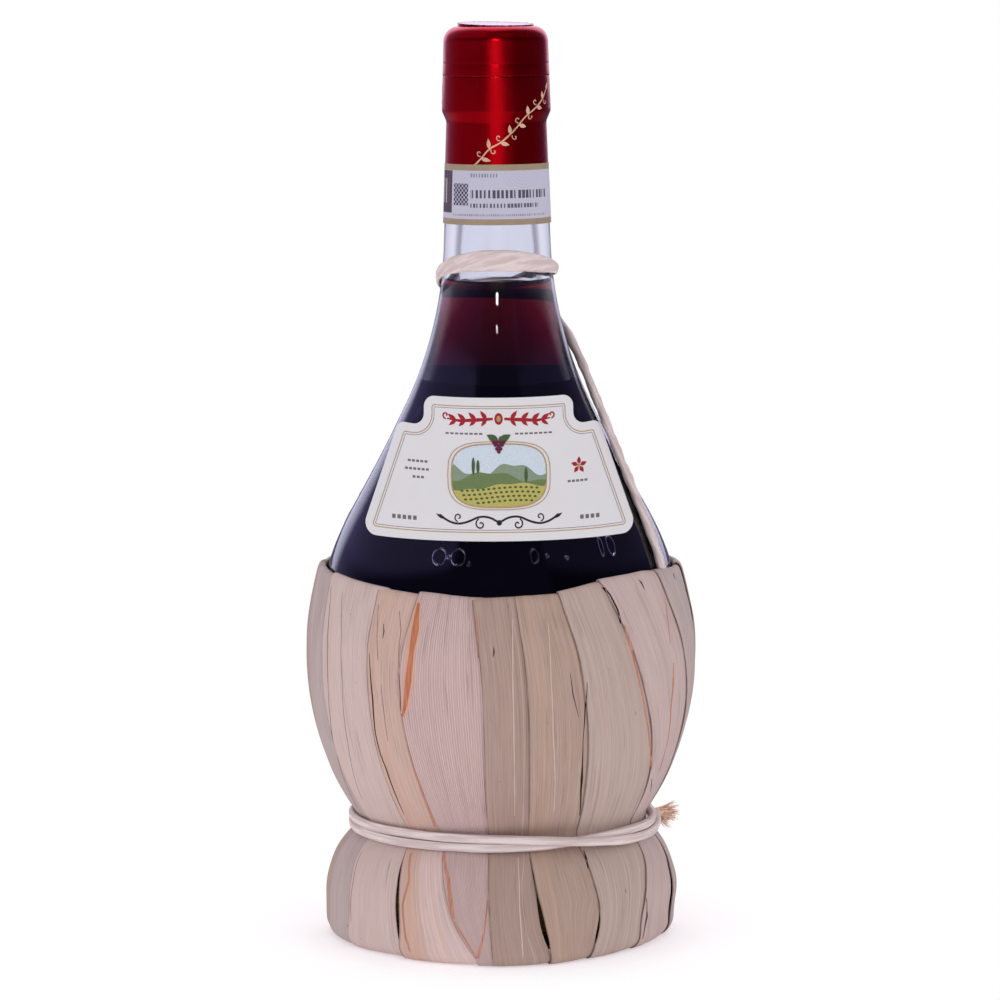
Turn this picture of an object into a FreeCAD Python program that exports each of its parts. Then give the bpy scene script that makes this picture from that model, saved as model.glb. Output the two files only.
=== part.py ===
import FreeCAD, Part
import math
import os

V = FreeCAD.Vector
os.makedirs("parts", exist_ok=True)

# Flask, mm, heights above the table
belly_radius = 51.8
belly_height = 79.0
shoulder_curve = 100.0
shoulder_share = 0.87
bottom_curve = 41.8
bottom_gap = 9.0
neck_foot_radius = 15.3
neck_foot_height = 199.0
neck_length = 38.3
neck_top_radius = 13.9
lip_radius = 15.25
lip_top_radius = 14.5
lip_height = 23.7
lip_step = 2.9
lip_round = 4.0
mouth_round = 1.0
body_wall = 2.55
throat_radius = 10.6
bore_radius = 9.25
bore_depth = 47.0
wine_level = 188.2
wine_gap = 0.05

# Cork and foil capsule
cork_length = 44.0
cork_sink = 0.4
cork_clearance = 0.05
cork_chamfer = 0.8
foil = 0.2
foil_clearance = 0.1
tear_drop = 13.7
tear_gap = 0.25
skirt_tuck = 9.3

# Paper seal band and label
paper = 0.2
paper_gap = 0.1
band_drop = 12.1
band_height = 17.4
label_bottom = 119.0
label_shoulder = 149.3
label_top = 157.3
label_foot_width = 78.5
label_shoulder_width = 57.2
label_tab_width = 42.4
label_corner = 3.1
back_top = 155.0
back_foot_width = 60.0
back_top_width = 40.0

# Straw cover
cover_room = 3.95
cover_lift = 3.3
rim_height = 107.6
rim_curve = 88.4
waist_room = 2.2
waist_height = 33.3
waist_land = 1.2
waist_upper_curve = 4.0
waist_lower_curve = 3.0
foot_flare = 9.9
foot_height = 11.3
foot_corner = 4.5
turn_under = 9.0
blade = 0.9
blade_gap = 0.4
piece_gap = 0.3
hoop_thickness = 1.2
hoop_drop = 7.0

# Widths of the blades in order round the belly, from the left of the label
blade_widths = [
    *(21.5, 10.6, 24.0, 12.3, 16.3, 20.0, 24.4, 22.0, 18.0),
    *(22.7, 19.9, 15.5, 23.6, 20.8, 17.0, 24.6, 14.0, 13.3),
]
first_azimuth = -64.6

# Cord
cord = 2.5
cord_gap = 0.35
turn_rise = 3.2
knot_azimuth = 115.0
knot_length = 6.4
knot_radius = 2.3
tail_length = 6.0


def at(r, z):
    return V(r, 0, z)


def round_axis(azimuth, r, z):
    """A point at an azimuth from the front, which is -Y; +90 degrees is +X."""
    a = math.radians(azimuth)
    return V(r * math.sin(a), -r * math.cos(a), z)


def line(a, b):
    return Part.makeLine(a, b)


def arc(centre, radius, start, end):
    """An arc in the X-Z plane between two angles in degrees."""
    points = []
    for angle in (start, (start + end) / 2, end):
        a = math.radians(angle)
        points.append(at(centre[0] + radius * math.cos(a), centre[1] + radius * math.sin(a)))
    return Part.Arc(*points).toShape()


def ends(edges):
    return edges[0].Vertexes[0].Point, edges[-1].Vertexes[-1].Point


def turned(edges, angle=360.0, start=0.0):
    """The face inside a chain of edges, turned about Z from an azimuth."""
    face = Part.Face(Part.Wire(Part.__sortEdges__(edges)))
    solid = face.revolve(V(0, 0, 0), V(0, 0, 1), angle)
    solid.rotate(V(0, 0, 0), V(0, 0, 1), start - 90.0)
    return solid if solid.ShapeType == "Solid" else Part.Solid(solid.Shells[0])


def polygon(points):
    return [line(a, b) for a, b in zip(points, points[1:] + points[:1])]


def rounded(points, radius):
    """A closed outline of straight sides with every corner rounded."""
    corners = []
    for before, corner, after in zip(points[-1:] + points[:-1], points, points[1:] + points[:1]):
        u = (before - corner).normalize()
        v = (after - corner).normalize()
        half = math.acos(u.dot(v)) / 2
        away = radius / math.tan(half)
        middle = corner + (u + v).normalize() * (radius / math.sin(half) - radius)
        corners.append((corner + u * away, middle, corner + v * away))
    edges = []
    for one, two in zip(corners, corners[1:] + corners[:1]):
        edges += [Part.Arc(*one).toShape(), line(one[2], two[0])]
    return edges


# Shape of the flask, from which the wine, label, foil and cords take theirs
taper = math.atan2(neck_foot_radius - neck_top_radius, neck_length)
lip_bottom = neck_foot_height + neck_length
mouth_height = lip_bottom + lip_height
bottom_centre = (0, bottom_gap + bottom_curve)
belly_above = belly_height - bottom_centre[1]
lower_curve = (belly_radius**2 + belly_above**2 - bottom_curve**2) / (2 * (belly_radius - bottom_curve))
lower_centre = (belly_radius - lower_curve, belly_height)
shoulder_centre = (belly_radius - shoulder_curve, belly_height)
heel = math.degrees(math.atan2(bottom_centre[1] - belly_height, -lower_centre[0]))
neck_wall = neck_foot_radius - throat_radius


def shoulder(body_in, neck_in):
    """The neck arc's centre and radius and the slope of the straight shoulder, for a wall that is
    inset by one depth at the belly and another at the neck."""
    bulge = shoulder_curve - body_in
    drop = belly_radius - body_in - neck_foot_radius + neck_in
    rise = neck_foot_height - belly_height
    limit = drop**2 + rise**2 - 2 * drop * bulge
    limit /= 2 * (bulge * (1 - math.cos(taper)) + drop * math.cos(taper) - rise * math.sin(taper))
    curve = shoulder_share * limit
    centre = (
        neck_foot_radius - neck_in + curve * math.cos(taper),
        neck_foot_height + curve * math.sin(taper),
    )
    dx = centre[0] - shoulder_centre[0]
    dz = centre[1] - shoulder_centre[1]
    slope = math.atan2(dz, dx) - math.acos((bulge + curve) / math.hypot(dx, dz))
    return centre, curve, math.degrees(slope)


def body(body_in, neck_in):
    """The flask's side from the axis at the bottom up to the foot of the neck."""
    centre, curve, slope = shoulder(body_in, neck_in)
    below = [
        arc(bottom_centre, bottom_curve - body_in, -90, heel),
        arc(lower_centre, lower_curve - body_in, heel, 0),
        arc(shoulder_centre, shoulder_curve - body_in, 0, slope),
    ]
    above = arc(centre, curve, 180 + slope, 180 + math.degrees(taper))
    return below + [line(ends(below)[1], ends([above])[0]), above]


def body_solid(body_in, neck_in):
    edges = body(body_in, neck_in)
    low, high = ends(edges)
    top = at(0, high.z)
    return turned(edges + [line(high, top), line(top, low)])


def neck_at(z):
    return neck_foot_radius - (z - neck_foot_height) * math.tan(taper)


def glass_at(z):
    """The flask's outer radius at a height up to the top of the neck."""
    if z < bottom_centre[1] + bottom_curve * math.sin(math.radians(heel)):
        return math.sqrt(bottom_curve**2 - (z - bottom_centre[1]) ** 2)
    if z < belly_height:
        return lower_centre[0] + math.sqrt(lower_curve**2 - (z - belly_height) ** 2)
    centre, curve, slope = shoulder(0, 0)
    slope = math.radians(slope)
    low = belly_height + shoulder_curve * math.sin(slope)
    high = centre[1] - curve * math.sin(slope)
    if z >= neck_foot_height:
        return neck_at(z)
    if z <= low:
        return shoulder_centre[0] + math.sqrt(shoulder_curve**2 - (z - belly_height) ** 2)
    if z >= high:
        return centre[0] - math.sqrt(curve**2 - (z - centre[1]) ** 2)
    return shoulder_centre[0] + shoulder_curve * math.cos(slope) - (z - low) * math.tan(slope)


band_top = lip_bottom - lip_step - band_drop
skirt_end = band_top - skirt_tuck


def lip_at(z):
    return lip_radius - (lip_radius - lip_top_radius) * (z - lip_bottom) / lip_height


def glass_flask():
    outer = body(0, 0)
    inner = body(body_wall, neck_wall)
    round_at = mouth_height - lip_round
    lip_centre = (lip_at(round_at) - lip_round, round_at)
    mouth_centre = (bore_radius + mouth_round, mouth_height - mouth_round)
    neck = ends(outer)[1]
    under = at(neck_at(lip_bottom - lip_step), lip_bottom - lip_step)
    lip = at(lip_radius, lip_bottom)
    corner = arc(lip_centre, lip_round, 0, 90)
    mouth = arc(mouth_centre, mouth_round, 90, 180)
    bore_foot = at(bore_radius, mouth_height - bore_depth)
    chain = outer + [
        line(neck, under),
        line(under, lip),
        line(lip, ends([corner])[0]),
        corner,
        line(ends([corner])[1], ends([mouth])[0]),
        mouth,
        line(ends([mouth])[1], bore_foot),
        line(bore_foot, ends(inner)[1]),
    ]
    return turned(chain + inner + [line(ends(inner)[0], ends(outer)[0])])


def wine():
    full = body_solid(body_wall + wine_gap, neck_wall + wine_gap)
    wide = 4 * belly_radius
    return full.common(Part.makeBox(wide, wide, wine_level, V(-wide / 2, -wide / 2, 0)))


def cork():
    top = mouth_height - cork_sink
    low = top - cork_length
    r = bore_radius - cork_clearance
    c = cork_chamfer
    return turned(
        polygon(
            [
                at(0, low),
                at(r - c, low),
                at(r, low + c),
                at(r, top - c),
                at(r - c, top),
                at(0, top),
            ]
        )
    )


tear_height = mouth_height - tear_drop


def capsule_cap():
    round_at = mouth_height - lip_round
    centre = (lip_at(round_at) - lip_round, round_at)
    inner = arc(centre, lip_round + foil_clearance, 0, 90)
    outer = arc(centre, lip_round + foil_clearance + foil, 0, 90)
    hem_in = at(lip_at(tear_height) + foil_clearance, tear_height)
    hem_out = at(hem_in.x + foil, tear_height)
    top_in = at(0, ends([inner])[1].z)
    top_out = at(0, ends([outer])[1].z)
    return turned(
        [
            line(hem_in, hem_out),
            line(hem_out, ends([outer])[0]),
            outer,
            line(ends([outer])[1], top_out),
            line(top_out, top_in),
            line(top_in, ends([inner])[1]),
            inner,
            line(ends([inner])[0], hem_in),
        ]
    )


def capsule_skirt():
    heights = [tear_height - tear_gap, lip_bottom, lip_bottom - lip_step, skirt_end]
    radii = [lip_at(heights[0]), lip_radius, neck_at(heights[2]), neck_at(skirt_end)]
    inner = [at(r + foil_clearance, z) for r, z in zip(radii, heights)]
    outer = [p + V(foil, 0, 0) for p in inner]
    return turned(polygon(inner + outer[::-1]))


def neck_band():
    clear = foil_clearance + foil + paper_gap
    low = at(neck_at(band_top - band_height) + clear, band_top - band_height)
    high = at(neck_at(band_top) + clear, band_top)
    out = V(paper, 0, 0)
    return turned(polygon([low, low + out, high + out, high]))


def on_shoulder(outline, way):
    """Paper of an upright outline on the flask's shoulder: way -1 is the front, 1 the back."""
    skin = body_solid(-paper_gap - paper, -paper_gap - paper)
    skin = skin.cut(body_solid(-paper_gap, -paper_gap))
    face = Part.Face(Part.Wire(Part.__sortEdges__(rounded(outline, label_corner))))
    return skin.common(face.extrude(V(0, 2 * way * belly_radius, 0)))


def both_sides(right):
    return right + [V(-p.x, 0, p.z) for p in right[::-1]]


def front_label():
    half = [label_foot_width / 2, label_shoulder_width / 2, label_tab_width / 2]
    right = [
        V(half[0], 0, label_bottom),
        V(half[1], 0, label_shoulder),
        V(half[2], 0, label_shoulder),
        V(half[2], 0, label_top),
    ]
    return on_shoulder(both_sides(right), -1)


def back_label():
    right = [V(back_foot_width / 2, 0, label_bottom), V(back_top_width / 2, 0, back_top)]
    return on_shoulder(both_sides(right), 1)


# Shape of the straw cover, and what stands inside it
cover_radius = belly_radius + cover_room
cover_height = belly_height + cover_lift
waist_radius = glass_at(waist_height) + waist_room
foot_radius = waist_radius + foot_flare
rim_angle = math.degrees(math.asin((rim_height - cover_height) / rim_curve))
waist_top = waist_height + waist_land / 2
waist_low = waist_height - waist_land / 2


def wave(radius_drop, height_drop, inner_curve):
    """Two tangent arcs between upright ends: the bulge's radius and the angle turned."""
    both = (radius_drop**2 + height_drop**2) / (2 * radius_drop)
    return both - inner_curve, math.degrees(math.asin(height_drop / both))


belly_curve, belly_angle = wave(
    cover_radius - waist_radius, cover_height - waist_top, waist_upper_curve
)
foot_curve, foot_angle = wave(foot_radius - waist_radius, waist_low - foot_height, waist_lower_curve)
foot_centre = (foot_radius - foot_curve, foot_height)


def cover_side(depth):
    """The cover's side from the rim to the end of the fold under the foot, at a depth in the blade."""
    upper = arc((cover_radius - rim_curve, cover_height), rim_curve - depth, rim_angle, 0)
    belly = arc((cover_radius - belly_curve, cover_height), belly_curve - depth, 0, -belly_angle)
    waist_1 = arc(
        (waist_radius + waist_upper_curve, waist_top),
        waist_upper_curve + depth,
        180 - belly_angle,
        180,
    )
    waist_2 = arc(
        (waist_radius + waist_lower_curve, waist_low),
        waist_lower_curve + depth,
        180,
        180 + foot_angle,
    )
    foot = arc(foot_centre, foot_curve - depth, foot_angle, 0)
    corner = arc((foot_radius - foot_corner, foot_corner), foot_corner - depth, 0, -90)
    under = at(foot_radius - foot_corner - turn_under, depth)
    return [
        upper,
        belly,
        waist_1,
        line(ends([waist_1])[1], ends([waist_2])[0]),
        waist_2,
        foot,
        line(ends([foot])[1], ends([corner])[0]),
        corner,
        line(ends([corner])[1], under),
    ]


def straw_blades():
    outer = cover_side(0)
    inner = cover_side(blade)
    tip_out, under_out = ends(outer)
    tip_in, under_in = ends(inner)
    tilt = math.radians(rim_angle)
    tip = (tip_out + tip_in) * 0.5 + V(-math.sin(tilt), 0, math.cos(tilt)) * (blade / 2)
    caps = [Part.Arc(tip_in, tip, tip_out).toShape(), line(under_out, under_in)]
    space = math.degrees(blade_gap / cover_radius)
    shapes = []
    start = first_azimuth
    for width in blade_widths:
        angle = 360.0 * width / sum(blade_widths)
        shapes.append(turned(outer + inner + caps, angle - space, start + space / 2))
        start += angle
    return shapes


def cover_inside(z):
    """The cover's inner radius at a height between its belly and its rim."""
    return cover_radius - rim_curve + math.sqrt((rim_curve - blade) ** 2 - (z - cover_height) ** 2)


def rim_hoop():
    z = rim_height - hoop_drop
    r = cover_inside(z) - piece_gap - hoop_thickness / 2
    return Part.makeTorus(r, hoop_thickness / 2, V(0, 0, z))


def base_ring():
    """A ring that fills the foot up to the flask, the fold under it and the blades round it."""

    def placed(radius):
        z = blade + piece_gap + radius
        room = foot_curve - blade - piece_gap - radius
        return foot_centre[0] + math.sqrt(max(room**2 - (z - foot_height) ** 2, 0)), z

    small, large = 1.0, (foot_radius - blade) / 2
    for _ in range(60):
        radius = (small + large) / 2
        r, z = placed(radius)
        if math.hypot(r, z - bottom_centre[1]) - bottom_curve - radius > piece_gap:
            small = radius
        else:
            large = radius
    return Part.makeTorus(*placed(small)[:1], small, V(0, 0, placed(small)[1]))


# Cords run on tangent arcs, two for each step of the route
def bend(start, tangent, corner, end):
    """The arc from start to end whose end tangents meet at the corner, or a line if it is straight."""
    chord = (end - start).Length / 2
    share = min(1.0, chord / (corner - start).Length)
    if share > 0.999999:
        return line(start, end)
    middle = (start + corner * (2 * share) + end) * (1 / (2 + 2 * share))
    return Part.Arc(start, middle, end).toShape()


def two_arcs(p0, t0, p1, t1):
    v = p1 - p0
    along = v.dot(t0 + t1)
    turn = 2 * (1 - t0.dot(t1))
    if turn < 1e-9:
        reach = v.dot(v) / (4 * v.dot(t1))
    else:
        reach = (math.sqrt(along**2 + turn * v.dot(v)) - along) / turn
    q0 = p0 + t0 * reach
    q1 = p1 - t1 * reach
    joint = (q0 + q1) * 0.5
    return [bend(p0, t0, q0, joint), bend(joint, (q1 - q0), q1, p1)]


def tube(name, edges, thickness):
    """A round cord along a chain of tangent lines and arcs, checked against itself."""
    wire = Part.Wire(edges)
    start = edges[0].Vertexes[0].Point
    tangent = edges[0].tangentAt(edges[0].FirstParameter)
    section = Part.Wire(Part.makeCircle(thickness / 2, start, tangent))
    solid = wire.makePipeShell([section], True, False)
    radii = [e.Curve.Radius for e in edges if hasattr(e.Curve, "Radius")]
    points = wire.discretize(Distance=thickness / 2)
    skip = 8
    near = min(
        (p - q).Length for i, p in enumerate(points) for q in points[i + skip :]
    )
    area = math.pi * thickness**2 / 4
    share = solid.Volume / (area * wire.Length)
    print(f"{name}: least arc radius {min(radii):.1f}, least gap to itself {near - thickness:.2f}")
    print(f"{name}: length {wire.Length:.0f}, volume {share:.4f} of section times length")
    return solid


def waist_turns():
    low = waist_height - turn_rise / 2
    high = waist_height + turn_rise / 2
    r = waist_radius + cord / 2 + cord_gap
    knot_r = r + cord / 2 + knot_radius + 1.0
    half = math.degrees(math.atan2(knot_length / 2, knot_r))
    ramp = 26.0
    stations = [(ramp, r, low)]
    stations += [(turn, r, low) for turn in (90, 180, 270, 360 - ramp)]
    stations += [(turn, r, high) for turn in (360 + ramp, 450, 540, 630, 720 - ramp)]
    knot = round_axis(knot_azimuth, knot_r, waist_height)
    side = round_axis(knot_azimuth + 90, 1, 0)
    first = knot + side * (knot_length / 2)
    last = knot - side * (knot_length / 2)
    points = [first + side * cord]
    tangents = [side]
    for turn, radius, z in stations:
        points.append(round_axis(knot_azimuth + turn, radius, z))
        tangents.append(round_axis(knot_azimuth + turn + 90, 1, 0))
    points.append(last - side * cord)
    tangents.append(side)
    edges = [line(first, points[0])]
    for i in range(len(points) - 1):
        edges += two_arcs(points[i], tangents[i], points[i + 1], tangents[i + 1])
    edges.append(line(points[-1], last))
    print(f"knot at radius {knot_r:.2f}, half angle {half:.1f}")
    return tube("waist_cord", edges, cord), knot, side


def waist_knot(knot, side):
    """A barrel whose flat ends take the two ends of the waist cord."""
    half = knot_length / 2
    mouth = cord / 2 + 0.2
    points = [at(0, -half), at(mouth, -half), at(mouth, half), at(0, half)]
    bulge = Part.Arc(points[1], at(knot_radius, 0), points[2]).toShape()
    edges = [line(points[0], points[1]), bulge, line(points[2], points[3]), line(points[3], points[0])]
    solid = turned(edges)
    solid.Placement = FreeCAD.Placement(knot, FreeCAD.Rotation(V(0, 0, 1), side)) * solid.Placement
    return solid


def knot_tails(knot, side):
    """Two loose ends that stand off the knot."""
    out = round_axis(knot_azimuth, 1, 0)
    solids = []
    for along, drop in ((-1.5, -0.25), (1.5, -0.6)):
        way = (out + V(0, 0, drop)).normalize()
        start = knot + side * along + way * (knot_radius + 0.1)
        solids.append(Part.makeCone(cord / 2 * 0.6, cord / 2 * 0.75, tail_length, start, way))
    return Part.makeCompound(solids)


# Route of the sling: azimuth, height, and how far it stands off the glass beyond its own clearance
sling_route = [
    (70.0, 105.5, 0.0),
    (70.5, 109.5, 0.0),
    (73.0, 119.3, 0.0),
    (78.0, 131.1, 0.0),
    (85.5, 143.0, 0.1),
    (95.0, 154.8, 0.5),
    (107.0, 166.1, 0.7),
    (124.0, 176.4, 0.4),
    (150.0, 183.6, 0.0),
    (180.0, 186.5, 0.0),
    (210.0, 187.8, 0.0),
    (240.0, 189.4, 0.0),
    (270.0, 191.1, 0.0),
    (300.0, 193.4, 0.0),
    (330.0, 195.0, 0.0),
    (360.0, 195.6, 0.0),
    (390.0, 195.0, 0.0),
    (420.0, 193.6, 0.0),
    (450.0, 192.1, 0.0),
    (480.0, 191.3, 0.0),
    (510.0, 191.4, 0.5),
    (540.0, 190.6, 2.5),
    (566.0, 186.0, 3.5),
    (583.0, 177.4, 1.6),
    (593.0, 166.1, 0.9),
    (601.0, 154.3, 0.5),
    (607.5, 142.5, 0.1),
    (612.5, 130.6, 0.0),
    (616.0, 119.3, 0.0),
    (618.5, 109.5, 0.0),
    (619.0, 105.5, 0.0),
]


def sling_cord():
    points = []
    for azimuth, z, off in sling_route:
        r = glass_at(z) + cord / 2 + cord_gap + off
        if z < rim_height:
            r = (glass_at(z) + cover_inside(z)) / 2
        points.append(round_axis(azimuth, r, z))
    tangents = []
    for i in range(len(points)):
        before, after = points[max(i - 1, 0)], points[min(i + 1, len(points) - 1)]
        tangents.append((after - before).normalize())
    edges = []
    for i in range(len(points) - 1):
        edges += two_arcs(points[i], tangents[i], points[i + 1], tangents[i + 1])
    return tube("sling_cord", edges, cord)


turns, knot_place, knot_side = waist_turns()
pieces = {
    "glass_flask": glass_flask(),
    "wine": wine(),
    "cork": cork(),
    "capsule_cap": capsule_cap(),
    "capsule_skirt": capsule_skirt(),
    "neck_band": neck_band(),
    "front_label": front_label(),
    "back_label": back_label(),
    "rim_hoop": rim_hoop(),
    "base_ring": base_ring(),
    "waist_cord": turns,
    "waist_knot": waist_knot(knot_place, knot_side),
    "knot_tails": knot_tails(knot_place, knot_side),
    "sling_cord": sling_cord(),
}
for number, shape in enumerate(straw_blades(), 1):
    pieces[f"straw_blade_{number:02d}"] = shape
for name, shape in pieces.items():
    shape.exportStep(f"parts/{name}.step")
    print(name, shape.isValid(), shape.ShapeType, len(shape.Solids), round(shape.Volume, 1), shape.BoundBox)
print("wine litres", round(pieces["wine"].Volume / 1e6, 4))
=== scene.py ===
import bpy
import math
import random
from mathutils import Matrix, Vector, noise
import numpy as np


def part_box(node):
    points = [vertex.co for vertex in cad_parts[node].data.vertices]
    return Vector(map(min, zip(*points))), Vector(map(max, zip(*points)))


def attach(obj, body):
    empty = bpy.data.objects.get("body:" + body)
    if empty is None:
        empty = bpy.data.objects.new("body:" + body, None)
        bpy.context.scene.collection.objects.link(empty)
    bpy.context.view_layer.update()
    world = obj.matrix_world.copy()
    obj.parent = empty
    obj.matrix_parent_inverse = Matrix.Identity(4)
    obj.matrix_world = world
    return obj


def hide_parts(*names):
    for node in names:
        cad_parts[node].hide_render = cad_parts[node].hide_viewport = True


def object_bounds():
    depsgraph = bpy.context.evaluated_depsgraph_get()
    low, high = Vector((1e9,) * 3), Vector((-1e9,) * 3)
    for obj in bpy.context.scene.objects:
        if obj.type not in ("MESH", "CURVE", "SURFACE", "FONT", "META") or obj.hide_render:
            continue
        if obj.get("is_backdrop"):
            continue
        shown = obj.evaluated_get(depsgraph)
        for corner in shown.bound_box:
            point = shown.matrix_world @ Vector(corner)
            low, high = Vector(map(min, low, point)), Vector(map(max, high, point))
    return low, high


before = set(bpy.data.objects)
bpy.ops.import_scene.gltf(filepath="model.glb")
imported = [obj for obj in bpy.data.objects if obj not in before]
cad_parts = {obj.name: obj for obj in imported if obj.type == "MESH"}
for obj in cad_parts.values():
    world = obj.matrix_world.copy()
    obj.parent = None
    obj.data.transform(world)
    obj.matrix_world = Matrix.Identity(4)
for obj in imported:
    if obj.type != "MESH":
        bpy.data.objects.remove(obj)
cadBox = [[float(v) for v in corner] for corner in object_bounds()]
mm = 0.001
dice = random.Random(11)
print("frame loaded")


class Wire:  # one node socket; sums on it add Math nodes
    def __init__(self, tree, socket=None):
        self.tree = tree
        self.socket = socket

    def node(self, kind, setup=None, sockets=None, out=0):
        made = self.tree.nodes.new("ShaderNode" + kind)
        for key, value in (setup or {}).items():
            setattr(made, key, value)
        for key, value in (sockets or {}).items():
            if isinstance(value, Wire):
                self.tree.links.new(value.socket, made.inputs[key])
            else:
                made.inputs[key].default_value = value
        return Wire(self.tree, made.outputs[out])

    def sum(self, operation, *values):
        return self.node("Math", {"operation": operation}, dict(enumerate(values)))

    def __add__(self, other):
        return self.sum("ADD", self, other)

    __radd__ = __add__

    def __sub__(self, other):
        return self.sum("SUBTRACT", self, other)

    def __rsub__(self, other):
        return self.sum("SUBTRACT", other, self)

    def __mul__(self, other):
        return self.sum("MULTIPLY", self, other)

    __rmul__ = __mul__

    def __truediv__(self, other):
        return self.sum("DIVIDE", self, other)

    def __rtruediv__(self, other):
        return self.sum("DIVIDE", other, self)

    def __gt__(self, other):
        return self.sum("GREATER_THAN", self, other)

    def __lt__(self, other):
        return self.sum("LESS_THAN", self, other)

    def fn(self, operation, *others):
        return self.sum(operation, self, *others)

    def step(self, low, high):  # 0 to 1, eased, between two values
        eased = {"interpolation_type": "SMOOTHSTEP"}
        return self.node("MapRange", eased, {0: self, 1: low, 2: high, 3: 0.0, 4: 1.0})

    def mix(self, first, second):  # two colours by this factor
        return self.node("Mix", {"data_type": "RGBA"}, {0: self, 6: first, 7: second}, out=2)

    def noise(self, x, y, z, detail=3.0, rough=0.55):  # grain at its own scale on each axis
        place = self.node("CombineXYZ", None, {0: x, 1: y, 2: z})
        grain = {"Vector": place, "Scale": 1.0, "Detail": detail, "Roughness": rough}
        return self.node("TexNoise", None, grain)

    def uv(self):  # the piece's own flat measure, in millimetres
        spot = self.node("UVMap", {"uv_map": "grain"})
        return [spot.node("SeparateXYZ", None, {0: spot}, out=i) for i in (0, 1)]

    def place(self):  # the piece's place in the frame, in metres
        spot = self.node("TexCoord", None, None, out=3)
        return [spot.node("SeparateXYZ", None, {0: spot}, out=i) for i in (0, 1, 2)]

    def bump(self, strength, distance):
        return self.node("Bump", None, {"Strength": strength, "Distance": distance, "Height": self})


def paint(r, g, b):  # a colour as a screen shows it, 0 to 255
    line = [v / 255 / 12.92 if v <= 10 else ((v / 255 + 0.055) / 1.055) ** 2.4 for v in (r, g, b)]
    return (*line, 1.0)


def newFinish(name, settings):
    made = bpy.data.materials.new(name)
    made.use_nodes = True
    shader = made.node_tree.nodes["Principled BSDF"]
    for key, value in settings.items():
        shader.inputs[key].default_value = value
    return made, Wire(made.node_tree), shader


def feed(shader, **wires):
    for key, wire in wires.items():
        wire.tree.links.new(wire.socket, shader.inputs[key.replace("_", " ")])


# meshes, given in millimetres: points, faces, flat measure and, where a piece has several, finish numbers
def addPiece(name, shape, finishes, stands=(), body="bottle", crease=38):
    points, faces, uv, *pick = shape
    mesh = bpy.data.meshes.new(name)
    mesh.from_pydata([(x * mm, y * mm, z * mm) for x, y, z in points], [], faces)
    for finish in finishes if isinstance(finishes, list) else [finishes]:
        mesh.materials.append(finish)
    layer = mesh.uv_layers.new(name="grain")
    layer.uv.foreach_set("vector", [value for corners in uv for place in corners for value in place])
    if pick:
        mesh.polygons.foreach_set("material_index", pick[0])
    mesh.shade_smooth()
    mesh.set_sharp_from_angle(angle=math.radians(crease))
    mesh.update()
    piece = bpy.data.objects.new(name, mesh)
    bpy.context.scene.collection.objects.link(piece)
    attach(piece, body)
    if stands:
        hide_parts(*stands)
    return piece


def runAlong(line):  # how far each point is along a line
    run = [0.0]
    for one, two in zip(line, line[1:]):
        run.append(run[-1] + math.dist(one, two))
    return run


def lathe(profile, sides, gauge, shape=None):  # turned about Z; gauge is the radius of its flat measure
    points, rings, faces, uv = [], [], [], []
    run = runAlong(profile)
    for i, (r, z) in enumerate(profile):
        if r < 1e-6:
            rings.append([len(points)])
            points.append((0.0, 0.0, z))
            continue
        rings.append(list(range(len(points), len(points) + sides)))
        for j in range(sides):
            a = 2 * math.pi * j / sides
            rr, zz = shape(i, a, r, z) if shape else (r, z)
            points.append((rr * math.sin(a), -rr * math.cos(a), zz))
    wide = 2 * math.pi * gauge / sides
    for i, (low, high) in enumerate(zip(rings, rings[1:])):
        for j in range(sides):
            k = (j + 1) % sides
            face = [(low[j % len(low)], j, i), (low[k % len(low)], j + 1, i)]
            face += [(high[k % len(high)], j + 1, i + 1), (high[j % len(high)], j, i + 1)]
            kept = [c for n, c in enumerate(face) if c[0] not in [d[0] for d in face[:n]]]
            faces.append([c[0] for c in kept])
            uv.append([(c[1] * wide, run[c[2]]) for c in kept])
    return points, faces, uv


def slab(grid, lay, low, high, flip=False, flat=None):  # a grid of places laid twice, closed at its edges
    rows, cols = len(grid), len(grid[0])
    points = [lay(a, b, out) for out in (high, low) for row in grid for a, b in row]
    measure = flat or grid
    faces, uv = [], []

    def put(*corners):
        order = corners[::-1] if flip else corners
        faces.append([side * rows * cols + i * cols + j for side, i, j in order])
        uv.append([tuple(measure[i][j]) for side, i, j in order])

    for i in range(rows - 1):
        for j in range(cols - 1):
            put((0, i, j), (0, i, j + 1), (0, i + 1, j + 1), (0, i + 1, j))
            put((1, i + 1, j), (1, i + 1, j + 1), (1, i, j + 1), (1, i, j))
        put((0, i, 0), (0, i + 1, 0), (1, i + 1, 0), (1, i, 0))
        put((0, i + 1, cols - 1), (0, i, cols - 1), (1, i, cols - 1), (1, i + 1, cols - 1))
    for j in range(cols - 1):
        put((0, 0, j + 1), (0, 0, j), (1, 0, j), (1, 0, j + 1))
        put((0, rows - 1, j), (0, rows - 1, j + 1), (1, rows - 1, j + 1), (1, rows - 1, j))
    return points, faces, uv


def joined(parts):  # several meshes as one, with each part's finish number
    points, faces, uv, pick = [], [], [], []
    for number, (morePoints, moreFaces, moreUv) in parts:
        base = len(points)
        points += morePoints
        faces += [[base + v for v in face] for face in moreFaces]
        uv += moreUv
        pick += [number] * len(moreFaces)
    return points, faces, uv, pick


def arcRun(centre, radius, start, end, count):
    turn = [math.radians(start + (end - start) * i / count) for i in range(count + 1)]
    return [(centre[0] + radius * math.cos(a), centre[1] + radius * math.sin(a)) for a in turn]


def chain(*runs):
    made = list(runs[0])
    for run in runs[1:]:
        made += run[1:] if math.dist(made[-1], run[0]) < 1e-6 else run
    return made


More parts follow.
